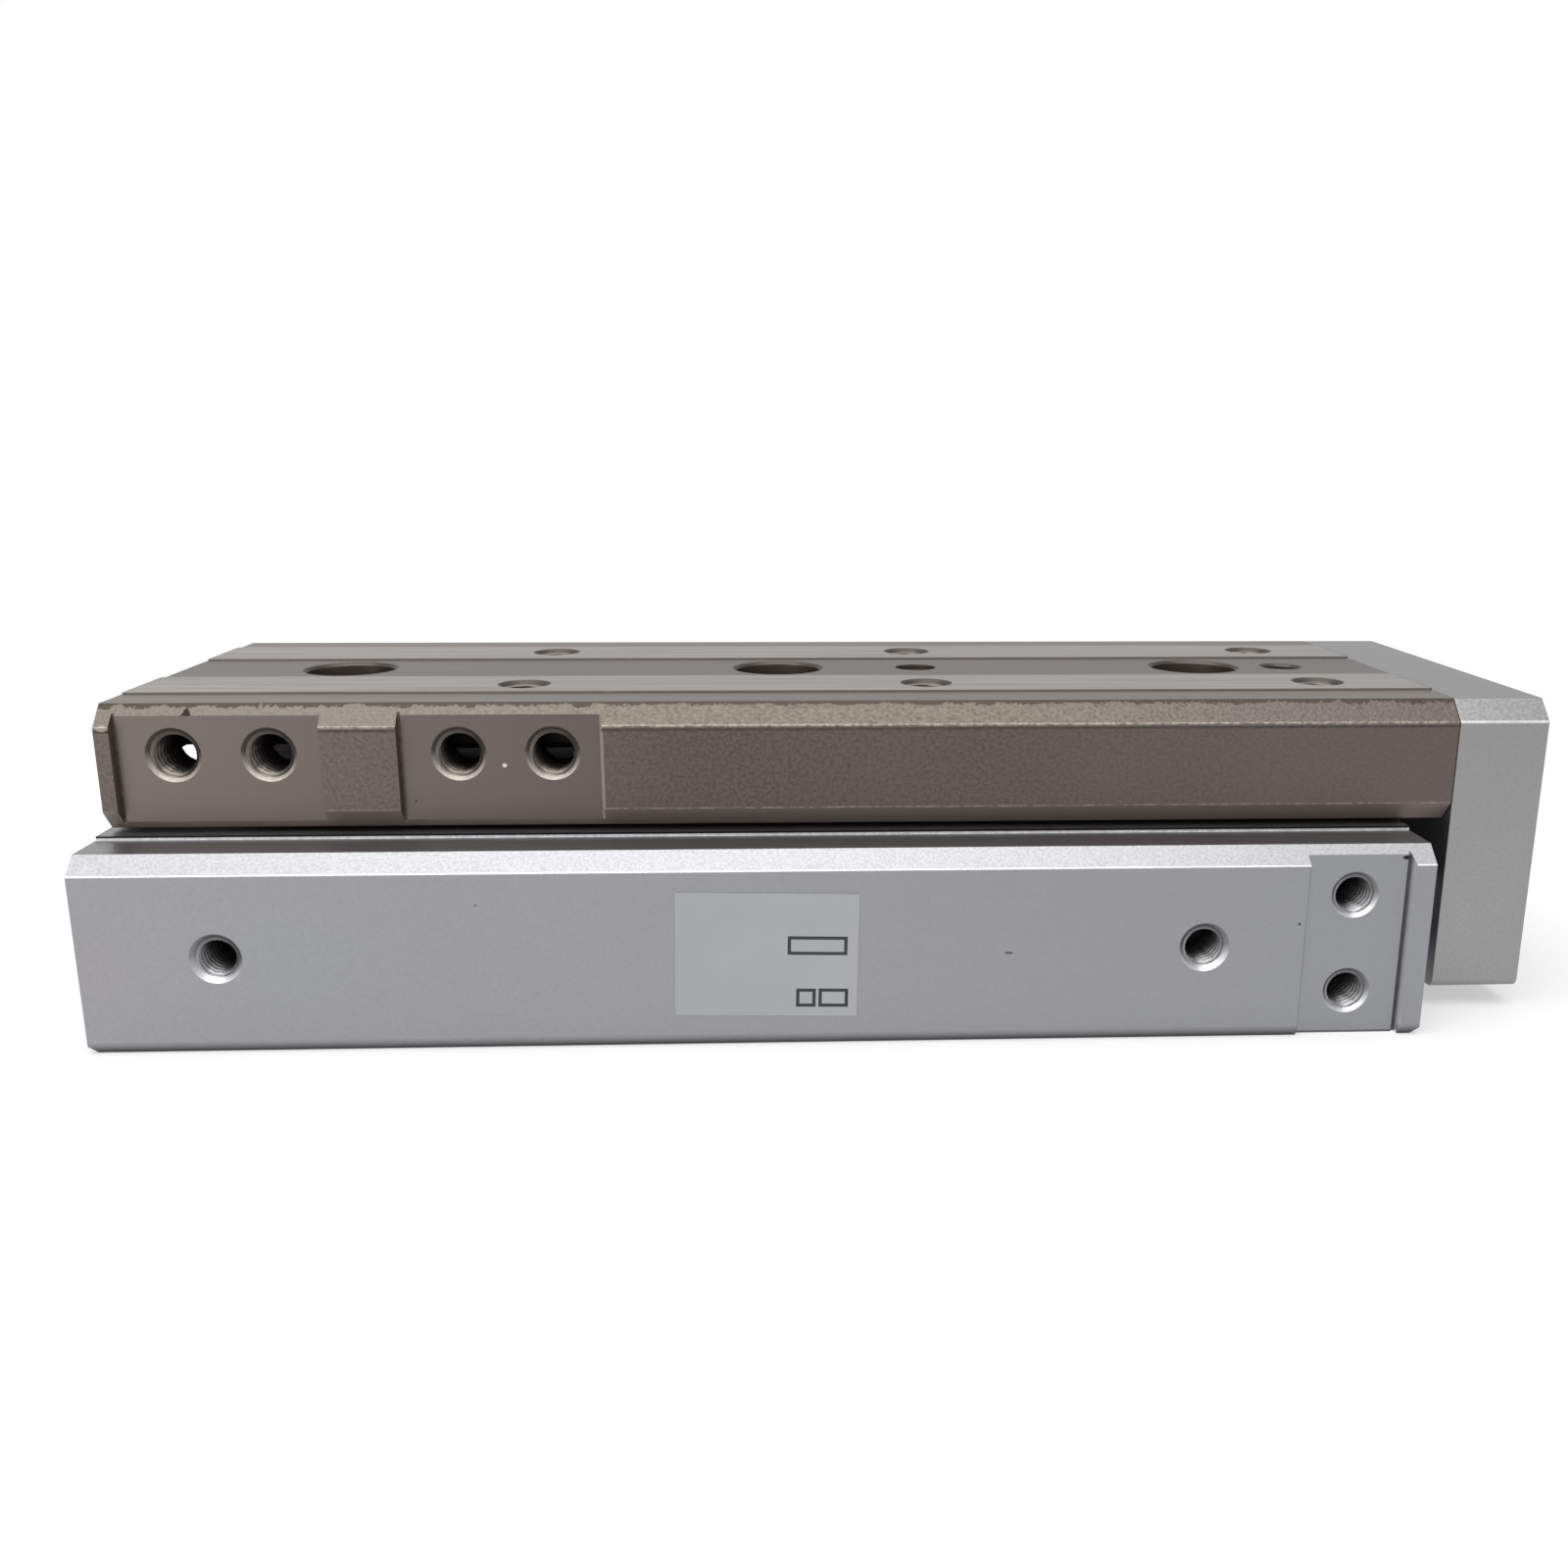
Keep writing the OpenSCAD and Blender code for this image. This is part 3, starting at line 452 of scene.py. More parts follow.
BEAD_ROUGH, MILLED_ROUGH = (0.38, 0.48), 0.36
SQUARE_ON = 0.9  # part of a normal beyond which a face looks squarely along an axis
REARWARD, SIDEWAYS, DOWNWARD = -0.6, -0.5, -0.3  # the same for faces that only lean that way
SLANTED = (0.4, 0.9)  # upward part of the normal of a chamfer
CONE_FACE = (-0.9, -0.5)  # sideways part of the normal of a countersink
# countersinks get painted light where they face up and painted shade where they face sideways
CONE_LIGHT_TURN = (-0.1, 0.4)  # upward part over which a countersink turns from dark to bright
BODY_HALF = 38.0
BODY_SPAN = (-86.4, 70.2)  # just inside the body's two ends
SIDE_SPAN = (1.2, 21.2)  # height of the flat part of its side
MOUTH_DEPTH = (-37.9, -36.0)  # y just inside that side, where the holes start
INNER_HALF, INNER_SPAN = 36.75, (0.05, 23.15)  # half width and height just under the skin
SLOPE_FALL, SLOPE_UNDER = 2.0 / 2.4, 52.7  # z + fall |y| just under the side chamfers
STEP_HALF, STEP_TOP = (29.2, 29.6), 23.6  # |y| and height of the step beside the table
# painted shade darkening the side towards its foot
FOOT_HALF, FOOT_SPAN = 37.3, (0.1, 1.45)  # |y| and height of the chamfer along the foot
# painted shadow along the bottom of the side, where it meets the floor
FOOT_SHADOW_TOP = 0.28  # height of the dark line under it
# painted highlight lines along the body's long edges
BODY_HIGHLIGHT_EDGES = [(38.0, 21.35, 0.16), (29.4, 23.42, 0.26)]  # |y|, z, width
SEAT_START, SEAT_END = 55.4, 67.75  # stop seat, along the stroke
# painted shade in the crease along the seat's rear edge
SEAT_SHADE_SPAN = (SEAT_START - 0.1, SEAT_START + 0.12)  # dark line along its rear edge
SEAT_SHADE_TOP = 22.0
SEAT_SHADE_STRENGTH = 0.55
# painted highlight on the wall at the seat's front end
SEAT_WALL = (SEAT_END - 0.15, SEAT_END + 0.6)  # bright wall at its front end
FRONT_FADE = (-70.0, 60.0)  # the body turns cooler towards the front
BODY_MARKS = [  # centre, reach, colour
    ((-41.3, -38.0, 17.6), (0.20, 0.3, 0.20), linear(112, 110, 112)),
    ((54.56, -38.0, 14.24), (0.20, 0.3, 0.20), linear(66, 62, 62)),
    ((20.20, -38.0, 11.10), (0.62, 0.3, 0.20), linear(96, 94, 95)),
    ((67.2, -36.8, 21.95), (0.60, 0.6, 0.30), linear(40, 39, 40)),
]


def body_finish():
    """Matt anodised skin, speckled along the chamfers, with milled faces, countersinks, bores, and
    painted highlights on the edges, the upper countersinks and a seat wall, and painted shade
    in the bores, under the table, along the foot and in the seat's crease.
    """
    skin = Finish("anodised_body", metallic=1.0, roughness=0.42)
    bead, tone = skin.grain(BEAD_GRAIN, detail=2.0, drift=45.0)
    blast, _ = skin.grain(BLAST_GRAIN)
    drawn, _ = skin.grain(DRAWN_GRAIN, detail=2.0)
    speck, _ = skin.grain(SPECK_GRAIN)
    out = skin.math("ABSOLUTE", skin.y)
    up = skin.above(skin.face_z, SQUARE_ON)
    side = skin.below(skin.face_y, -SQUARE_ON)
    along = skin.between(skin.x, *BODY_SPAN)
    cone = skin.all_of(skin.between(skin.face_y, *CONE_FACE), skin.between(skin.z, *SIDE_SPAN))
    painted_light = skin.spread(skin.face_z, 0.0, 1.0, *CONE_LIGHT_TURN)
    wall = skin.all_of(skin.below(skin.face_x, REARWARD), skin.between(skin.x, *SEAT_WALL))
    # painted shade lines: the seat's rear crease and the shadow at the foot
    line = skin.any_of(
        skin.all_of(
            side, skin.between(skin.x, *SEAT_SHADE_SPAN), skin.below(skin.z, SEAT_SHADE_TOP),
            SEAT_SHADE_STRENGTH,
        ),
        skin.all_of(skin.below(skin.face_y, SIDEWAYS), skin.below(skin.z, FOOT_SHADOW_TOP)),
    )
    step_top = skin.all_of(skin.between(out, *STEP_HALF), skin.above(skin.z, STEP_TOP))
    foot = skin.all_of(skin.above(out, FOOT_HALF), skin.spread(skin.z, 1.0, 0.0, *FOOT_SPAN))
    # painted shade inside the bores and in the mouths of the side holes
    inside = skin.all_of(
        skin.below(out, INNER_HALF), skin.between(skin.z, *INNER_SPAN), along,
        skin.below(skin.math("MULTIPLY_ADD", out, SLOPE_FALL, skin.z), SLOPE_UNDER),
    )
    mouth = skin.all_of(
        skin.above(skin.face_y, CONE_FACE[1]), skin.between(skin.y, *MOUTH_DEPTH),
        skin.between(skin.z, *SIDE_SPAN), along,
    )
    colour = skin.lay(ALUMINIUM, ALUMINIUM_WARM, skin.spread(tone, 0.0, 1.0))
    colour = skin.lay(colour, ALUMINIUM_FRONT, skin.spread(skin.x, 0.0, 1.0, *FRONT_FADE))
    colour = skin.lay(colour, ALUMINIUM_SHADE, skin.spread(blast, 0.0, 0.3, 0.4, 0.7))
    speckled = skin.lay(
        ALUMINIUM_SLOPE_DARK, ALUMINIUM_SLOPE, skin.spread(speck, 0.0, 1.0, 0.38, 0.58)
    )
    colour = skin.lay(colour, speckled, skin.between(skin.face_z, *SLANTED))
    colour = skin.lay(colour, ALUMINIUM_MILLED, up)
    # painted shade in the bores and hole mouths
    colour = skin.lay(colour, ALUMINIUM_BORE_SHADE, skin.any_of(inside, mouth))
    # countersinks: painted shade turning to painted light as they face up
    colour = skin.lay(colour, skin.lay(ALUMINIUM_CONE_SHADE, ALUMINIUM_CONE_HIGHLIGHT, painted_light), cone)
    # painted highlight on the seat's front wall
    colour = skin.lay(colour, ALUMINIUM_WALL_HIGHLIGHT, wall)
    colour = skin.lay(colour, ALUMINIUM_SHADOW, step_top)
    # painted shade lines
    colour = skin.lay(colour, ALUMINIUM_SHADE_LINE, line)
    # painted shade towards the foot
    colour = skin.lay(colour, ALUMINIUM_FOOT_SHADE, foot)
    # painted highlights along the long edges
    for y, z, width in BODY_HIGHLIGHT_EDGES:
        colour = skin.lay(colour, ALUMINIUM_HIGHLIGHT, skin.edge(y, z, width, broken=0.35))
    for centre, reach, tone in BODY_MARKS:
        colour = skin.lay(colour, tone, skin.spot(centre, reach))
    roughness = skin.blend(skin.spread(bead, *BEAD_ROUGH), MILLED_ROUGH, up)
    height = skin.relief((bead, BEAD_DEPTH), (blast, BLAST_DEPTH))
    height = skin.blend(height, skin.relief((drawn, DRAWN_DEPTH)), up)
    return skin.finish(colour, roughness, height)


give(body_finish(), "body")
soften("body")

# ---------------------------------------------------------------- table
# The table is a channel of martensitic stainless steel. Its sides and chamfers keep a rough
# brown-grey skin, while the seats, pads and holes are machined or ground bright.

STEEL_SKIN = linear(103, 93, 87)
STEEL_SKIN_DARK = linear(82, 74, 70)
STEEL_SKIN_GREEN = linear(104, 97, 86)
STEEL_SCALE = linear(118, 110, 101)
STEEL_SCALE_DARK = linear(84, 77, 70)
STEEL_SCALE_FRONT = linear(97, 85, 87)
STEEL_SCALE_REAR = linear(115, 107, 101)
STEEL_RAGGED = linear(68, 60, 54)
STEEL_SKIN_PALE = linear(127, 116, 110)
STEEL_SKIN_PALE_DARK = linear(108, 98, 92)
STEEL_SKIN_FRONT = linear(109, 99, 99)
# painted light on the downward lower chamfers and along their edge
STEEL_FOOT_LIGHT = linear(142, 132, 126)
STEEL_SHADE = linear(58, 52, 48)
STEEL_MILLED = linear(120, 112, 106)
STEEL_MILLED_FAR = linear(104, 96, 91)
STEEL_GROUND = linear(166, 159, 154)
STEEL_GROUND_DARK = linear(134, 128, 125)
STEEL_STRIP = linear(128, 117, 109)
STEEL_STRIP_DARK = linear(104, 93, 86)
STEEL_CHANNEL = linear(99, 91, 85)
STEEL_CHANNEL_DARK = linear(89, 82, 77)
STEEL_BORE_SHADE = linear(50, 47, 44)
STEEL_HOLE_LIGHT = linear(118, 109, 102)
STEEL_SEAT_HIGHLIGHT = linear(150, 141, 133)
STEEL_RIM_SHADE = linear(74, 69, 65)
STEEL_CHIP_SHADE = linear(34, 30, 27)
STEEL_CHAMFER_HIGHLIGHT = linear(160, 151, 141)
# painted light and painted shade copies of the countersink colour
STEEL_CONE_HIGHLIGHT = linear(182, 174, 166)
STEEL_CONE_SHADE = linear(92, 85, 80)
STEEL_UNDER_SHADE = linear(76, 69, 64)
# painted highlight along the lower edge of the upper chamfers, painted shade under it, and painted
# light along the upper edge of the foot chamfers
TABLE_LIGHT_AND_SHADE_EDGES = [  # |y|, z, width, how broken, colour
    (29.0, 36.58, 0.24, 0.75, STEEL_CHAMFER_HIGHLIGHT),
    (29.0, 36.12, 0.24, 0.35, STEEL_UNDER_SHADE),
    (29.0, 26.6, 0.20, 0.85, STEEL_FOOT_LIGHT),
]
SKIN_GRAIN = (0.24, 0.24, 0.24)
PEBBLE_GRAIN = (0.5, 0.42, 0.42)
GROUND_GRAIN = (34.0, 0.8, 0.8)
MILLED_GRAIN = (0.09, 1.0, 5.0)
SKIN_DEPTHS = (0.03, 0.02)  # relief of the fine grain and of the pebbles on the sides
SLOPE_DEPTH = 0.10  # of the pebbles on the chamfers
CUT_DEPTH = 0.004  # of the lines on ground and milled faces
SKIN_ROUGH, CUT_ROUGH, SEAT_ROUGH = 0.52, 0.34, 0.40
SKIN_METAL, CUT_METAL = 0.75, 0.95  # metallic value of the skin and of cut faces
PAD_FOOT, PAD_TOP = 39.12, 39.2  # the pads rise above these heights
LEVEL_BAND = (38.9, PAD_TOP)  # height of the channel between the pads and of the outer strips
STRIP_HALF = 15.0  # |y| beyond which a level face is an outer strip
FLANK_HALF = 26.0  # |y| beyond which a face belongs to a side or its chamfers
RAGGED_TOP = 38.72  # height of the ragged dark line along the top of the chamfer
SEAT_FACE = (-28.2, -27.6)  # y of the stop seats
SEAT_FRONT = -27.35  # front edge of the second stop seat, along the stroke
# painted highlight along that front edge
SEAT_RIM = (SEAT_FRONT - 0.3, SEAT_FRONT + 0.2)  # bright line along it
SEAT_RIM_TONE = 0.85
SEAT_HOLES = (27.0, 36.4)  # height of the holes in the stop seats
SIDE_FOOT = 26.7  # the lower chamfers lie under this height
ACCESS_FOOT, ACCESS_HALF = 32.5, 9.0  # the access holes are above this height, within this |y|
RIM_FOOT = 36.0  # the rims of the holes in the top are above this height
TABLE_INNER_HALF, TABLE_INNER_SPAN = 27.3, (24.3, 38.9)  # half width and height under the skin
TABLE_INNER_LENGTH = (-85.4, 74.4)
TABLE_INNER_SUM, TABLE_INNER_GAP = 65.4, 2.2  # |y| + z and |y| - z under the chamfers
REAR_FADE = (-60.0, -20.0)  # along the stroke, where the paler rear of the skin fades out
STREAK_FADE = (-70.0, 0.0)  # where the pads turn brighter towards the front
MILLED_FADE = (-84.0, -30.0)  # where the stop seats turn darker
FRONT_SKIN_FADE = (15.0, 70.0)  # where the sides turn redder
FRONT_SCALE_FADE = (20.0, 72.0)  # where the side chamfers turn darker
TABLE_END = 75.45  # where the end plate starts, along the stroke
# a real chip in the chamfer, drawn near black as painted shade inside it
NICK = (-75.35, 37.78, 0.66, 0.98)  # middle, foot, half width and height of a chamfer's chip
TABLE_MARKS = [  # centre, reach, colour
    ((-38.97, -27.8, 31.71), (0.32, 0.4, 0.30), linear(214, 208, 200)),
    ((-84.6, -29.0, 36.5), (0.7, 0.9, 0.40), linear(158, 150, 140)),
    ((-49.6, -27.8, 27.4), (0.16, 0.3, 0.16), linear(60, 54, 50)),
]


def chip_mask(skin, fine):
    """Inside of the peak |x - middle| / half width + (z - foot) / height < 1 of the NICK, whose
    sides the fine grain makes uneven."""
    middle, foot, half, height = NICK
    uneven = skin.math("ADD", skin.x, skin.spread(fine, -0.12, 0.12))
    across = skin.math("ABSOLUTE", skin.math("SUBTRACT", uneven, middle))
    risen = skin.math("DIVIDE", skin.math("SUBTRACT", skin.z, foot), height)
    return skin.below(skin.math("ADD", skin.math("DIVIDE", across, half), risen), 1.0)


def table_finish():
    """Pebbled skin on the sides and chamfers, ragged where the top was ground, under the milled
    seats, ground pads, channel, holes and marks; painted light and shade on the edges, the foot
    chamfers, the bores and the countersinks."""
    skin = Finish("table_steel", metallic=0.9, roughness=0.48)
    fine, tone = skin.grain(SKIN_GRAIN, detail=4.0, drift=38.0)
    pebble, _ = skin.grain(PEBBLE_GRAIN, detail=4.0)
    ground, wave = skin.grain(GROUND_GRAIN, drift=2.4)
    milled, _ = skin.grain(MILLED_GRAIN, detail=2.0)
    out = skin.math("ABSOLUTE", skin.y)
    up = skin.above(skin.face_z, SQUARE_ON)
    side = skin.below(skin.face_y, -SQUARE_ON)
    slanted = skin.between(skin.face_z, *SLANTED)
    slope = skin.all_of(slanted, skin.above(out, FLANK_HALF))
    # painted shade on the countersinks of the holes in the top, damping their highlight
    rim = skin.all_of(slanted, skin.below(out, FLANK_HALF), skin.above(skin.z, RIM_FOOT))
    pad = skin.all_of(up, skin.above(skin.z, PAD_TOP))
    level = skin.all_of(up, skin.between(skin.z, *LEVEL_BAND))
    strip = skin.all_of(level, skin.above(out, STRIP_HALF))
    seat = skin.all_of(side, skin.between(skin.y, *SEAT_FACE))
    # painted highlight along the seat's front edge
    seat_highlight = skin.all_of(side, skin.between(skin.x, *SEAT_RIM), SEAT_RIM_TONE)
    cone = skin.all_of(skin.between(skin.face_y, *CONE_FACE), skin.between(skin.z, *SEAT_HOLES))
    painted_light = skin.spread(skin.face_z, 0.0, 1.0, *CONE_LIGHT_TURN)
    # downward faces of the lower chamfers, lifted by painted light
    foot = skin.all_of(
        skin.below(skin.face_z, DOWNWARD), skin.above(out, FLANK_HALF),
        skin.below(skin.z, SIDE_FOOT),
    )
    # painted shade inside the table's holes and hollows
    inside = skin.all_of(
        skin.below(out, TABLE_INNER_HALF), skin.between(skin.z, *TABLE_INNER_SPAN),
        skin.between(skin.x, *TABLE_INNER_LENGTH),
        skin.below(skin.math("ADD", out, skin.z), TABLE_INNER_SUM),
        skin.below(skin.math("SUBTRACT", out, skin.z), TABLE_INNER_GAP),
    )
    # painted light on the walls of the access holes in the top
    access = skin.all_of(inside, skin.above(skin.z, ACCESS_FOOT), skin.below(out, ACCESS_HALF))
    lift = skin.math("ADD", skin.spread(pebble, -0.2, 0.2), skin.spread(wave, -0.22, 0.22))
    ragged = skin.all_of(slope, skin.above(skin.math("ADD", skin.z, lift), RAGGED_TOP))
    chip = skin.all_of(slope, skin.below(skin.y, 0.0), chip_mask(skin, fine))
    near_rear = skin.spread(skin.x, 0.55, 0.0, *REAR_FADE)
    near_front = skin.spread(skin.x, 0.0, 1.0, *STREAK_FADE)
    pebbled = skin.spread(pebble, 0.0, 1.0, 0.35, 0.6)
    lines = skin.spread(ground, 0.0, 1.0)

    colour = skin.lay(STEEL_SKIN_DARK, STEEL_SKIN, pebbled)
    colour = skin.lay(colour, STEEL_SKIN_GREEN, skin.spread(tone, 0.0, 0.6))
    pale = skin.lay(STEEL_SKIN_PALE_DARK, STEEL_SKIN_PALE, pebbled)
    colour = skin.lay(colour, pale, near_rear)
    colour = skin.lay(colour, STEEL_SKIN_FRONT, skin.spread(skin.x, 0.0, 0.4, *FRONT_SKIN_FADE))
    scale = skin.lay(STEEL_SCALE_DARK, STEEL_SCALE, skin.spread(pebble, 0.0, 1.0, 0.24, 0.68))
    scale = skin.lay(scale, STEEL_SCALE_REAR, near_rear)
    scale = skin.lay(scale, STEEL_SCALE_FRONT, skin.spread(skin.x, 0.0, 0.45, *FRONT_SCALE_FADE))
    colour = skin.lay(colour, scale, slope)
    colour = skin.lay(colour, STEEL_RAGGED, ragged)
    # painted light on the foot chamfers
    colour = skin.lay(colour, STEEL_FOOT_LIGHT, foot)
    further = skin.spread(skin.x, 0.0, 1.0, *MILLED_FADE)
    colour = skin.lay(colour, skin.lay(STEEL_MILLED, STEEL_MILLED_FAR, further), seat)
    colour = skin.lay(colour, STEEL_GROUND_DARK, skin.above(skin.z, PAD_FOOT))
    streaks = skin.math(
        "ADD", skin.spread(ground, 0.0, 1.0, 0.36, 0.62), skin.math("MULTIPLY", near_front, 0.15)
    )
    colour = skin.lay(colour, skin.lay(STEEL_GROUND_DARK, STEEL_GROUND, streaks), pad)
    colour = skin.lay(colour, skin.lay(STEEL_CHANNEL_DARK, STEEL_CHANNEL, lines), level)
    colour = skin.lay(colour, skin.lay(STEEL_STRIP_DARK, STEEL_STRIP, lines), strip)
    # painted shade inside the table
    colour = skin.lay(colour, STEEL_BORE_SHADE, inside)
    # painted light on the access hole walls
    colour = skin.lay(colour, STEEL_HOLE_LIGHT, access)
    # painted highlight along the seat's front edge
    colour = skin.lay(colour, STEEL_SEAT_HIGHLIGHT, seat_highlight)
    # painted shade on the top's countersinks
    colour = skin.lay(colour, STEEL_RIM_SHADE, rim)
    # the chip, coloured as painted shade
    colour = skin.lay(colour, STEEL_CHIP_SHADE, chip)
    # countersinks: painted shade turning to painted light as they face up
    colour = skin.lay(colour, skin.lay(STEEL_CONE_SHADE, STEEL_CONE_HIGHLIGHT, painted_light), cone)
    # painted highlight and shade lines along the edges
    for y, z, width, broken, tone in TABLE_LIGHT_AND_SHADE_EDGES:
        colour = skin.lay(colour, tone, skin.edge(y, z, width, broken, grain=0.6))
    for centre, reach, tone in TABLE_MARKS:
        colour = skin.lay(colour, tone, skin.spot(centre, reach))
    colour = skin.lay(colour, STEEL_SHADE, skin.above(skin.x, TABLE_END))

    smooth = skin.any_of(pad, level, inside)
    roughness = skin.blend(SKIN_ROUGH, CUT_ROUGH, smooth)
    roughness = skin.blend(roughness, SEAT_ROUGH, seat)
    height = skin.relief((fine, SKIN_DEPTHS[0]), (pebble, SKIN_DEPTHS[1]))
    height = skin.blend(height, skin.relief((pebble, SLOPE_DEPTH)), slope)
    height = skin.blend(height, skin.relief((ground, CUT_DEPTH)), smooth)
    height = skin.blend(height, skin.relief((milled, CUT_DEPTH)), seat)
    metallic = skin.blend(SKIN_METAL, CUT_METAL, skin.any_of(smooth, seat))
    return skin.finish(colour, roughness, height, metallic)


give(table_finish(), "table")
soften("table")

# ---------------------------------------------------------------- end plate
# The end plate is a slice of the same anodised aluminium, milled all round and screwed to the
# front of the table; the rod ends float in it.

PLATE = linear(150, 150, 151)
PLATE_WARM = linear(155, 153, 153)
PLATE_SHADE = linear(136, 136, 138)
PLATE_TOP = linear(150, 150, 152)
PLATE_SLOPE = linear(145, 144, 145)
PLATE_SLOPE_DARK = linear(130, 129, 130)
PLATE_SLOPE_FOOT = 36.0  # the upper chamfers lie above this height
# painted highlight line along the lower edge of the upper chamfers
PLATE_HIGHLIGHT_EDGE = (29.0, 36.6, 0.24)  # |y|, z, width


def end_plate_finish():
    """The body's matt skin, a little darker, speckled along the upper chamfers, with a painted
    highlight along their lower edge.
    """
    skin = Finish("anodised_plate", metallic=1.0, roughness=0.42)
    bead, tone = skin.grain(BEAD_GRAIN, detail=2.0, drift=30.0)
    blast, _ = skin.grain(BLAST_GRAIN)
    up = skin.above(skin.face_z, SQUARE_ON)
    slope = skin.all_of(
        skin.between(skin.face_z, *SLANTED), skin.above(skin.z, PLATE_SLOPE_FOOT)
    )
    speckled = skin.lay(PLATE_SLOPE_DARK, PLATE_SLOPE, skin.spread(blast, 0.0, 1.0, 0.38, 0.6))
    colour = skin.lay(PLATE, PLATE_WARM, skin.spread(tone, 0.0, 1.0))
    colour = skin.lay(colour, PLATE_SHADE, skin.spread(blast, 0.0, 0.35, 0.4, 0.7))
    colour = skin.lay(colour, PLATE_TOP, up)
    colour = skin.lay(colour, speckled, slope)
    # painted highlight along the upper chamfers' lower edge
    colour = skin.lay(colour, ALUMINIUM_HIGHLIGHT, skin.edge(*PLATE_HIGHLIGHT_EDGE, broken=0.3))
    height = skin.relief((bead, BEAD_DEPTH), (blast, BLAST_DEPTH))
    return skin.finish(colour, skin.spread(bead, *BEAD_ROUGH), height)


give(end_plate_finish(), "end_plate")
soften("end_plate")

# ---------------------------------------------------------------- label
# A polyester label stuck to the left side of the body, between the two air ports, a little out
# of square. Its fields are left blank; only their printed frames are there.

LABEL_AT = (-8.14, 11.2)  # centre, along the stroke and up
LABEL_HALF = (10.73, 7.6)
LABEL_TURN = math.radians(-1.1)
LABEL_THICK = 0.05
LABEL_SUNK = 0.02  # of it that reaches into the body
LABEL_CORNER = 0.5
LABEL_CORNER_STEPS = 8
LABEL_RIM_WIDTH = 0.1
LABEL_GRAIN, LABEL_DEPTH = (0.2, 0.2, 0.2), 0.003
LABEL_FILM = linear(175, 178, 182)
LABEL_FILM_PALE = linear(181, 184, 188)
# painted shade along the label's edge
LABEL_RIM_SHADE = linear(150, 152, 155)
LABEL_INK = linear(36, 38, 42)
PRINT_WIDTH = 0.40
PRINT_FRAMES = [  # low u, high u, low v, high v from the label's centre
    (2.40, 9.37, 0.05, 2.33),
    (3.47, 5.78, -6.39, -4.12),
    (6.10, 9.58, -6.38, -4.10),
]


def closed_mesh(name, points, faces, body):
    """Object with those points (in mm) and faces, riding on a body of the frame."""
    mesh = bpy.data.meshes.new(name)
    mesh.from_pydata((np.asarray(points) * MM).tolist(), [], [list(map(int, f)) for f in faces])
    mesh.validate()
    piece = bpy.data.objects.new(name, mesh)
    bpy.context.collection.objects.link(piece)
    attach(piece, body)
    return piece


def label_finish():
    """Satin film. (u, v) is the distance from the label's centre, turned by LABEL_TURN."""
    skin = Finish("label_film", metallic=0.0, roughness=0.38)
    fine, tone = skin.grain(LABEL_GRAIN, drift=12.0)
    along = skin.math("SUBTRACT", skin.x, LABEL_AT[0])
    up = skin.math("SUBTRACT", skin.z, LABEL_AT[1])
    cos, sin = math.cos(LABEL_TURN), math.sin(LABEL_TURN)
    u = skin.math("ADD", skin.math("MULTIPLY", along, cos), skin.math("MULTIPLY", up, sin))
    v = skin.math("SUBTRACT", skin.math("MULTIPLY", up, cos), skin.math("MULTIPLY", along, sin))
    rim = skin.any_of(*(
        skin.above(skin.math("ABSOLUTE", at), half - LABEL_RIM_WIDTH)
        for at, half in zip((u, v), LABEL_HALF)
    ))
    colour = skin.lay(LABEL_FILM, LABEL_FILM_PALE, skin.spread(tone, 0.0, 1.0))
    # painted shade along the label's edge
    colour = skin.lay(colour, LABEL_RIM_SHADE, rim)
    for u0, u1, v0, v1 in PRINT_FRAMES:
        whole = skin.all_of(skin.between(u, u0, u1), skin.between(v, v0, v1))
        hollow = skin.all_of(
            skin.between(u, u0 + PRINT_WIDTH, u1 - PRINT_WIDTH),
            skin.between(v, v0 + PRINT_WIDTH, v1 - PRINT_WIDTH),
        )
        colour = skin.lay(colour, LABEL_INK, skin.math("SUBTRACT", whole, hollow))
    return skin.finish(colour, height=skin.relief((fine, LABEL_DEPTH)))


def build_label():
    """Rounded rectangle, half sizes less the radius plus radius (cos t, sin t) at each corner,
    turned by LABEL_TURN about its centre and given its thickness."""
    count = 4 * LABEL_CORNER_STEPS
    t = np.linspace(0, 2 * np.pi, count, endpoint=False) + np.pi / count
    turn = np.column_stack((np.cos(t), np.sin(t)))
    u, v = (np.sign(turn) * (np.array(LABEL_HALF) - LABEL_CORNER) + LABEL_CORNER * turn).T
    cos, sin = math.cos(LABEL_TURN), math.sin(LABEL_TURN)
    front = np.column_stack((
        LABEL_AT[0] + u * cos - v * sin,
        np.full(count, -BODY_HALF - LABEL_THICK),
        LABEL_AT[1] + u * sin + v * cos,
    ))
    back = front + (0, LABEL_THICK + LABEL_SUNK, 0)
    k = np.arange(count)
    sides = np.column_stack((k, k + count, (k + 1) % count + count, (k + 1) % count))
    faces = [k.tolist(), (k[::-1] + count).tolist()] + sides.tolist()
    label = closed_mesh("label", np.vstack((front, back)), faces, "base")
    label.data.materials.append(label_finish())


build_label()

# ---------------------------------------------------------------- threads
# Every tapped hole has a cut metric thread. The frame has the plain drilled hole, so a sleeve
# of the same metal with the helical ridge on its inside lines it.

RIDGE = 0.42  # height of a ridge, as a share of the pitch
CREST_GAIN, ROOT_WIDTH = 1.35, 0.1  # they clip the ridge to a flat crest and a flat root
RUN_IN = 0.15  # pitches over which the thread starts
# painted light on the crests fades over this many pitches down the hole
CREST_LIGHT_RUN = 2.0  # pitches over which its crest turns dull
# a level thread gets painted light only where it faces up
THREAD_LIGHT_FACING = (-0.3, 0.6)  # upward part of a normal over which a level thread turns bright
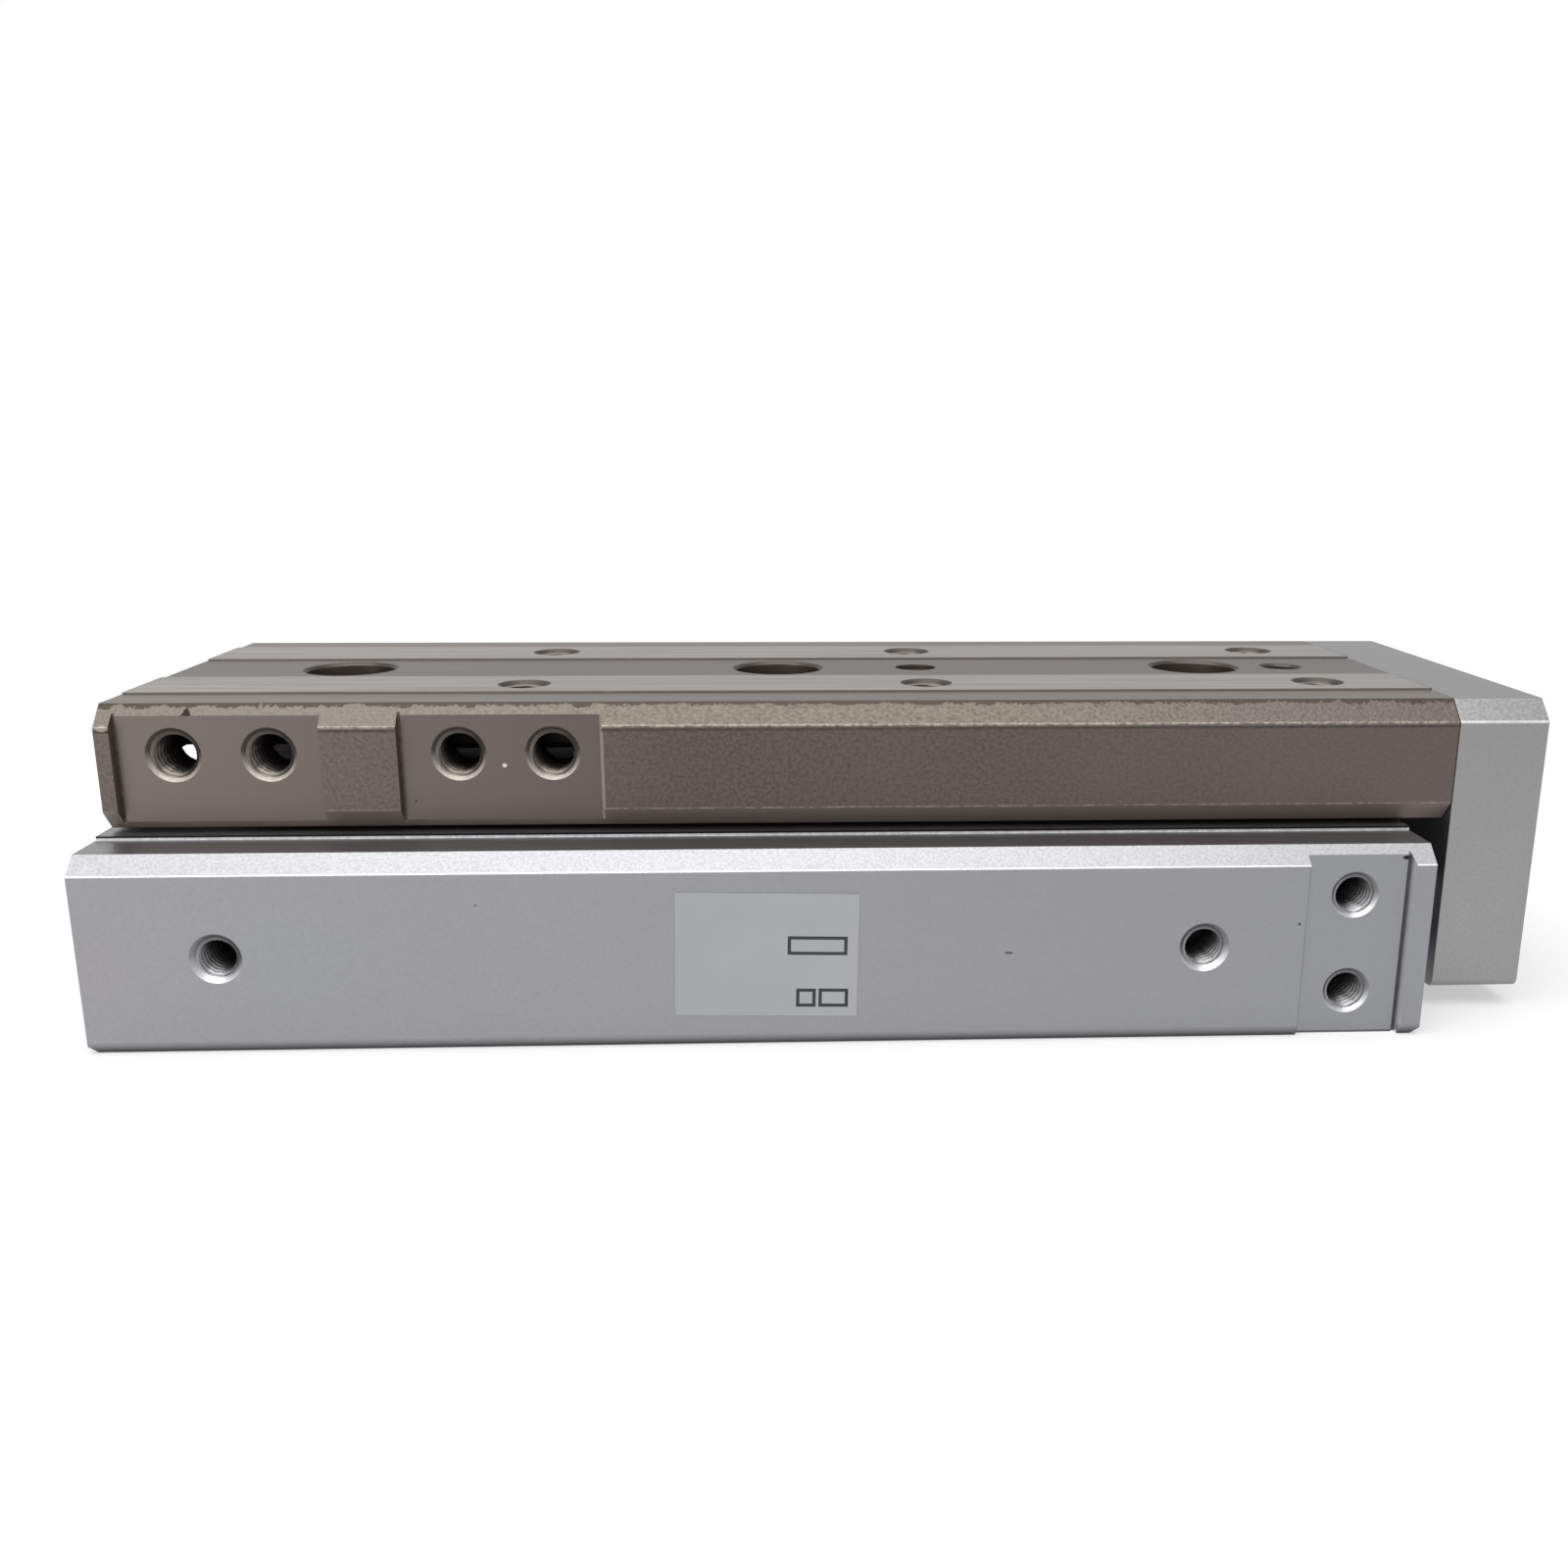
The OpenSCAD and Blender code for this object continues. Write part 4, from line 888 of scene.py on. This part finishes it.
# roots get painted shade at this share of the crest tone
THREAD_ROOT_SHADE = 0.22  # tone of a root against a crest
THREAD_CUT = (0.7, 1.2)  # how unevenly the tool has cut it
THREAD_GRAIN, THREAD_DEPTH = (0.25, 0.25, 0.25), 0.01
SLEEVE_IN, SLEEVE_OUT = 0.02, 0.04  # from the hole's wall to the root and to the outside
SLEEVE_SIDES = 56
SLEEVE_RINGS = 12  # steps along the axis per pitch


def build_thread(mouth, inward, wall_r, pitch, length):
    """Closed sleeve round an axis. At angle t and depth s its inner radius is
    wall_r - ridge * (1 - |2 frac(s / pitch - t / 2 pi) - 1|), clipped to a flat crest and root,
    and its outer radius lies just inside the metal. Gives points, faces, and for every point its
    share of painted light: 1 on a crest at the mouth, falling to 0, painted shade, in the root and
    down the hole."""
    around = SLEEVE_SIDES
    along = int(length / pitch * SLEEVE_RINGS)
    t = np.linspace(0, 2 * np.pi, around, endpoint=False)[:, None]
    s = np.linspace(0, length, along + 1)[None, :]
    wave = 1 - np.abs(2 * np.mod(s / pitch - t / (2 * np.pi), 1) - 1)
    crest = np.clip(CREST_GAIN * wave - ROOT_WIDTH, 0, 1)
    run_in = np.clip(s / (RUN_IN * pitch), 0, 1)
    radius = wall_r - SLEEVE_IN - RIDGE * pitch * crest * run_in
    radius = np.hstack((radius, np.full((around, 2), wall_r + SLEEVE_OUT)))
    depth = np.hstack((
        np.broadcast_to(s, (around, along + 1)), np.broadcast_to([[length, 0]], (around, 2))
    ))
    axis = np.array(inward, float)
    first = np.array((1, 0, 0), float) if abs(axis[0]) < 0.5 else np.array((0, 1, 0), float)
    second = np.cross(axis, first)
    points = (
        np.array(mouth, float) + depth[..., None] * axis
        + radius[..., None] * (np.cos(t)[..., None] * first + np.sin(t)[..., None] * second)
    )
    # painted light share: bright on crests near the mouth, painted shade in roots and deeper
    crest_light = np.hstack((crest * np.exp(-s / (CREST_LIGHT_RUN * pitch)), np.zeros((around, 2))))
    index = np.arange(radius.size).reshape(radius.shape)
    next_side = np.roll(index, -1, axis=0)
    corners = (index, next_side, np.roll(next_side, -1, axis=1), np.roll(index, -1, axis=1))
    faces = np.stack(corners, axis=-1)
    return points.reshape(-1, 3), faces.reshape(-1, 4), crest_light.ravel()


def build_threads(name, holes, body, material):
    """One piece of all the sleeves of a group; holes are the arguments of build_thread."""
    sleeves = [build_thread(*hole) for hole in holes]
    starts = np.cumsum([0] + [len(points) for points, _, _ in sleeves])
    points = np.vstack([ring for ring, _, _ in sleeves])
    faces = np.vstack([quads + start for (_, quads, _), start in zip(sleeves, starts)])
    piece = closed_mesh(name, points, faces, body)
    # painted light share of each point
    crest_light = np.concatenate([metal for _, _, metal in sleeves]).astype(np.float32)
    piece.data.attributes.new("painted_crest_light", "FLOAT", "POINT").data.foreach_set("value", crest_light)
    piece.data.materials.append(material)


def shade_of(tone, gain, lift=0.0):
    """Linear colour times a gain, plus a lift, up to white."""
    return (*(min(1.0, gain * part + lift) for part in tone[:3]), 1)


def thread_finish(name, tone, roughness, level=True):
    """Cut metal: short tool marks that follow the grain of the cut, under painted light on the
    crests near the mouth and painted shade in the roots and down the hole. In a level hole the
    painted light falls only where the thread faces up."""
    skin = Finish(name, metallic=0.85, roughness=roughness)
    cut, drift = skin.grain(THREAD_GRAIN, drift=2.0)
    crest_light = skin.node("ShaderNodeAttribute", attribute_name="painted_crest_light").outputs["Fac"]
    if level:
        crest_light = skin.math("MULTIPLY", crest_light, skin.spread(skin.face_z, 0.1, 1.0, *THREAD_LIGHT_FACING))
    bright = skin.math("MULTIPLY", crest_light, skin.spread(cut, *THREAD_CUT))
    # painted light on the crests, painted shade in the roots
    colour = skin.lay(shade_of(tone, THREAD_ROOT_SHADE), tone, bright)
    rough = skin.spread(drift, roughness - 0.06, roughness + 0.08)
    return skin.finish(colour, rough, skin.relief((cut, THREAD_DEPTH)))


M5, M6, M8 = (2.4, 0.8), (2.8, 1.0), (3.4, 1.25)  # radius of the drilled hole, pitch
REAR = -86.6  # rear face of the body; the places below are measured from it along the stroke
PORT_X, PORT_Z = (15.6, 130.0), 11.5
PORT_MOUTH, PORT_DEEP = -37.4, 6.5  # where the thread starts along its axis, and its length
STOP_SEAT_X, STOP_SEAT_Z = 148.0, (5.4, 17.4)
STOP_SEAT_MOUTH, STOP_SEAT_DEEP = -36.35, 7.5
MOUNT_X = (22.8, 80.1, 137.4)
MOUNT_MOUTH, MOUNT_DEEP = 0.4, 14.0
SIDE_HOLE_X, SIDE_HOLE_Z = (9.35, 20.35, 42.35, 53.35), 33.15
SIDE_HOLE_MOUTH, SIDE_HOLE_DEEP = -27.35, 8.0
PAD_HOLE_X, PAD_HOLE_Y = (48.2, 98.9, 149.6), (-14.5, 14.5)
PAD_HOLE_MOUTH, PAD_HOLE_DEEP = 38.8, 6.2
PLATE_HOLE_Y, PLATE_HOLE_Z = (-7.0, 7.0), (6.5, 24.5)
PLATE_HOLE_MOUTH, PLATE_HOLE_DEEP = 172.8, 10.2
INTO_SIDE, INTO_PLATE, UP, DOWN = (0, 1, 0), (-1, 0, 0), (0, 0, 1), (0, 0, -1)

bare_aluminium = thread_finish("cut_aluminium", linear(196, 196, 198), 0.30)
bare_steel = thread_finish("cut_steel", linear(150, 141, 133), 0.30)
dull_steel = thread_finish("oiled_cut_steel", linear(132, 127, 123), 0.46, level=False)
build_threads(
    "port_threads",
    [((REAR + x, PORT_MOUTH, PORT_Z), INTO_SIDE, *M5, PORT_DEEP) for x in PORT_X],
    "base", bare_aluminium,
)
build_threads(
    "stop_seat_threads",
    [((REAR + STOP_SEAT_X, STOP_SEAT_MOUTH, z), INTO_SIDE, *M5, STOP_SEAT_DEEP)
     for z in STOP_SEAT_Z],
    "base", bare_aluminium,
)
build_threads(
    "mounting_threads",
    [((REAR + x, 0, MOUNT_MOUTH), UP, *M8, MOUNT_DEEP) for x in MOUNT_X],
    "base", bare_aluminium,
)
build_threads(
    "side_threads",
    [((REAR + x, SIDE_HOLE_MOUTH, SIDE_HOLE_Z), INTO_SIDE, *M6, SIDE_HOLE_DEEP)
     for x in SIDE_HOLE_X],
    "carriage", bare_steel,
)
build_threads(
    "pad_threads",
    [((REAR + x, y, PAD_HOLE_MOUTH), DOWN, *M6, PAD_HOLE_DEEP)
     for x in PAD_HOLE_X for y in PAD_HOLE_Y],
    "carriage", dull_steel,
)
build_threads(
    "bracket_threads",
    [((REAR + PLATE_HOLE_MOUTH, y, z), INTO_PLATE, *M5, PLATE_HOLE_DEEP)
     for y in PLATE_HOLE_Y for z in PLATE_HOLE_Z],
    "carriage", bare_aluminium,
)

# ---------------------------------------------------------------- guide
# A ground bearing steel block with moulded return covers, rubber scrapers and polished balls.


def ground_finish(name, tone, roughness, grain, relief=0.004, metallic=0.9, contrast=0.25):
    """Machined metal: tool lines whose spacing along x, y and z in mm is the grain."""
    skin = Finish(name, metallic=metallic, roughness=roughness)
    lines, drift = skin.grain(grain, drift=14.0)
    dark = shade_of(tone, 1 - contrast)
    colour = skin.lay(dark, tone, skin.spread(lines, 0.0, 1.0))
    colour = skin.lay(colour, dark, skin.spread(drift, 0.0, 0.5))
    rough = skin.spread(lines, roughness - 0.05, roughness + 0.08)
    return skin.finish(colour, rough, skin.relief((lines, relief)))


def moulded_finish(name, tone, roughness, relief=0.01):
    """Moulded resin or rubber: even fine pores and slow changes of tone."""
    skin = Finish(name, metallic=0.0, roughness=roughness)
    pores, drift = skin.grain((0.12, 0.12, 0.12), detail=2.0, drift=8.0)
    pale = shade_of(tone, 1.35, lift=0.004)
    colour = skin.lay(tone, pale, skin.spread(drift, 0.0, 1.0))
    rough = skin.spread(pores, roughness - 0.06, roughness + 0.1)
    return skin.finish(colour, rough, skin.relief((pores, relief)))


BROKEN_EDGE = 0.2 * MM  # on the heads of the larger screws

give(
    ground_finish("ground_guide_steel", linear(98, 96, 94), 0.28, (20.0, 0.1, 0.1)),
    "guide_block",
)
give(
    moulded_finish("moulded_cover", linear(52, 60, 57), 0.45),
    "return_cover_rear", "return_cover_front",
)
give(
    moulded_finish("seal_rubber", linear(30, 30, 31), 0.6),
    "scraper_rear", "scraper_front", "head_cap_o_rings", "rod_cover_o_rings",
    "rod_seals", "piston_seals",
)
give(
    ground_finish(
        "polished_ball_steel", linear(196, 196, 200), 0.12, (0.4, 0.4, 0.4),
        relief=0.0005, metallic=1.0, contrast=0.06,
    ),
    "ball_circuit_left", "ball_circuit_right", "end_plate_dowels",
)
give(
    ground_finish(
        "black_oxide", linear(46, 45, 47), 0.36, (0.2, 0.2, 0.2),
        relief=0.008, metallic=0.7, contrast=0.3,
    ),
    "guide_block_screws", "return_cover_screws", "end_plate_screws", "rod_bolts",
)
for screws in ("guide_block_screws", "end_plate_screws", "rod_bolts"):
    soften(screws, BROKEN_EDGE)

# ---------------------------------------------------------------- air cylinders
# Turned alloy caps, covers and pistons, hard chromed rods, rubber bumpers, a bronze bush and
# sprung steel rings; only the caps, the rings and the bared rods show outside.


BORE_Y, BORE_Z = 15.0, 11.5  # |y| and height of the two bores' axes
TURNED_PITCH = 0.12  # spacing of the tool's rings in mm
TURNED_DEPTH = 0.006


def turned_finish(name, tone, roughness):
    """Turned metal: rings round the axis of a bore, from the distance
    sqrt((|y| - BORE_Y) ** 2 + (z - BORE_Z) ** 2) to it."""
    skin = Finish(name, metallic=0.85, roughness=roughness)
    across = skin.math("SUBTRACT", skin.math("ABSOLUTE", skin.y), BORE_Y)
    up = skin.math("SUBTRACT", skin.z, BORE_Z)
    turns = skin.math("DIVIDE", distance_of(skin.tree, across, up), TURNED_PITCH)
    rings = skin.node(
        "ShaderNodeTexNoise", {"W": turns, "Scale": 1.0, "Detail": 2.0}, noise_dimensions="1D"
    ).outputs["Fac"]
    grain, drift = skin.grain((0.3, 0.3, 0.3), drift=6.0)
    dark = shade_of(tone, 0.75)
    colour = skin.lay(dark, tone, skin.spread(rings, 0.0, 1.0))
    colour = skin.lay(colour, dark, skin.spread(drift, 0.0, 0.5))
    rough = skin.spread(grain, roughness - 0.05, roughness + 0.08)
    return skin.finish(colour, rough, skin.relief((rings, TURNED_DEPTH)))


give(
    turned_finish("turned_cap_alloy", linear(142, 142, 145), 0.32),
    "head_cap_left", "head_cap_right", "rod_cover_left", "rod_cover_right",
)
give(
    turned_finish("turned_piston_alloy", linear(165, 166, 168), 0.3),
    "piston_left", "piston_right",
)
give(
    ground_finish(
        "chromed_rod", linear(205, 206, 210), 0.14, (0.12, 30.0, 30.0),
        relief=0.0008, metallic=1.0, contrast=0.05,
    ),
    "rod_left", "rod_right",
)
give(turned_finish("bush_bronze", linear(150, 118, 74), 0.38), "rod_bushes")
give(
    ground_finish(
        "phosphated_spring_steel", linear(66, 65, 66), 0.42, (0.15, 0.15, 0.15),
        relief=0.01, metallic=0.75, contrast=0.3,
    ),
    "rear_retaining_rings", "front_retaining_rings",
)
give(
    turned_finish("washer_steel", linear(160, 160, 162), 0.3),
    "rod_washers", "floating_bushes",
)
give(
    moulded_finish("bumper_rubber", linear(40, 40, 41), 0.7),
    "front_bumpers", "rear_bumpers",
)
give(moulded_finish("wear_resin", linear(110, 82, 52), 0.5), "piston_wear_rings")
give(
    ground_finish(
        "sintered_magnet", linear(70, 72, 75), 0.45, (0.2, 0.2, 0.2),
        relief=0.006, metallic=0.6, contrast=0.2,
    ),
    "piston_magnets",
)
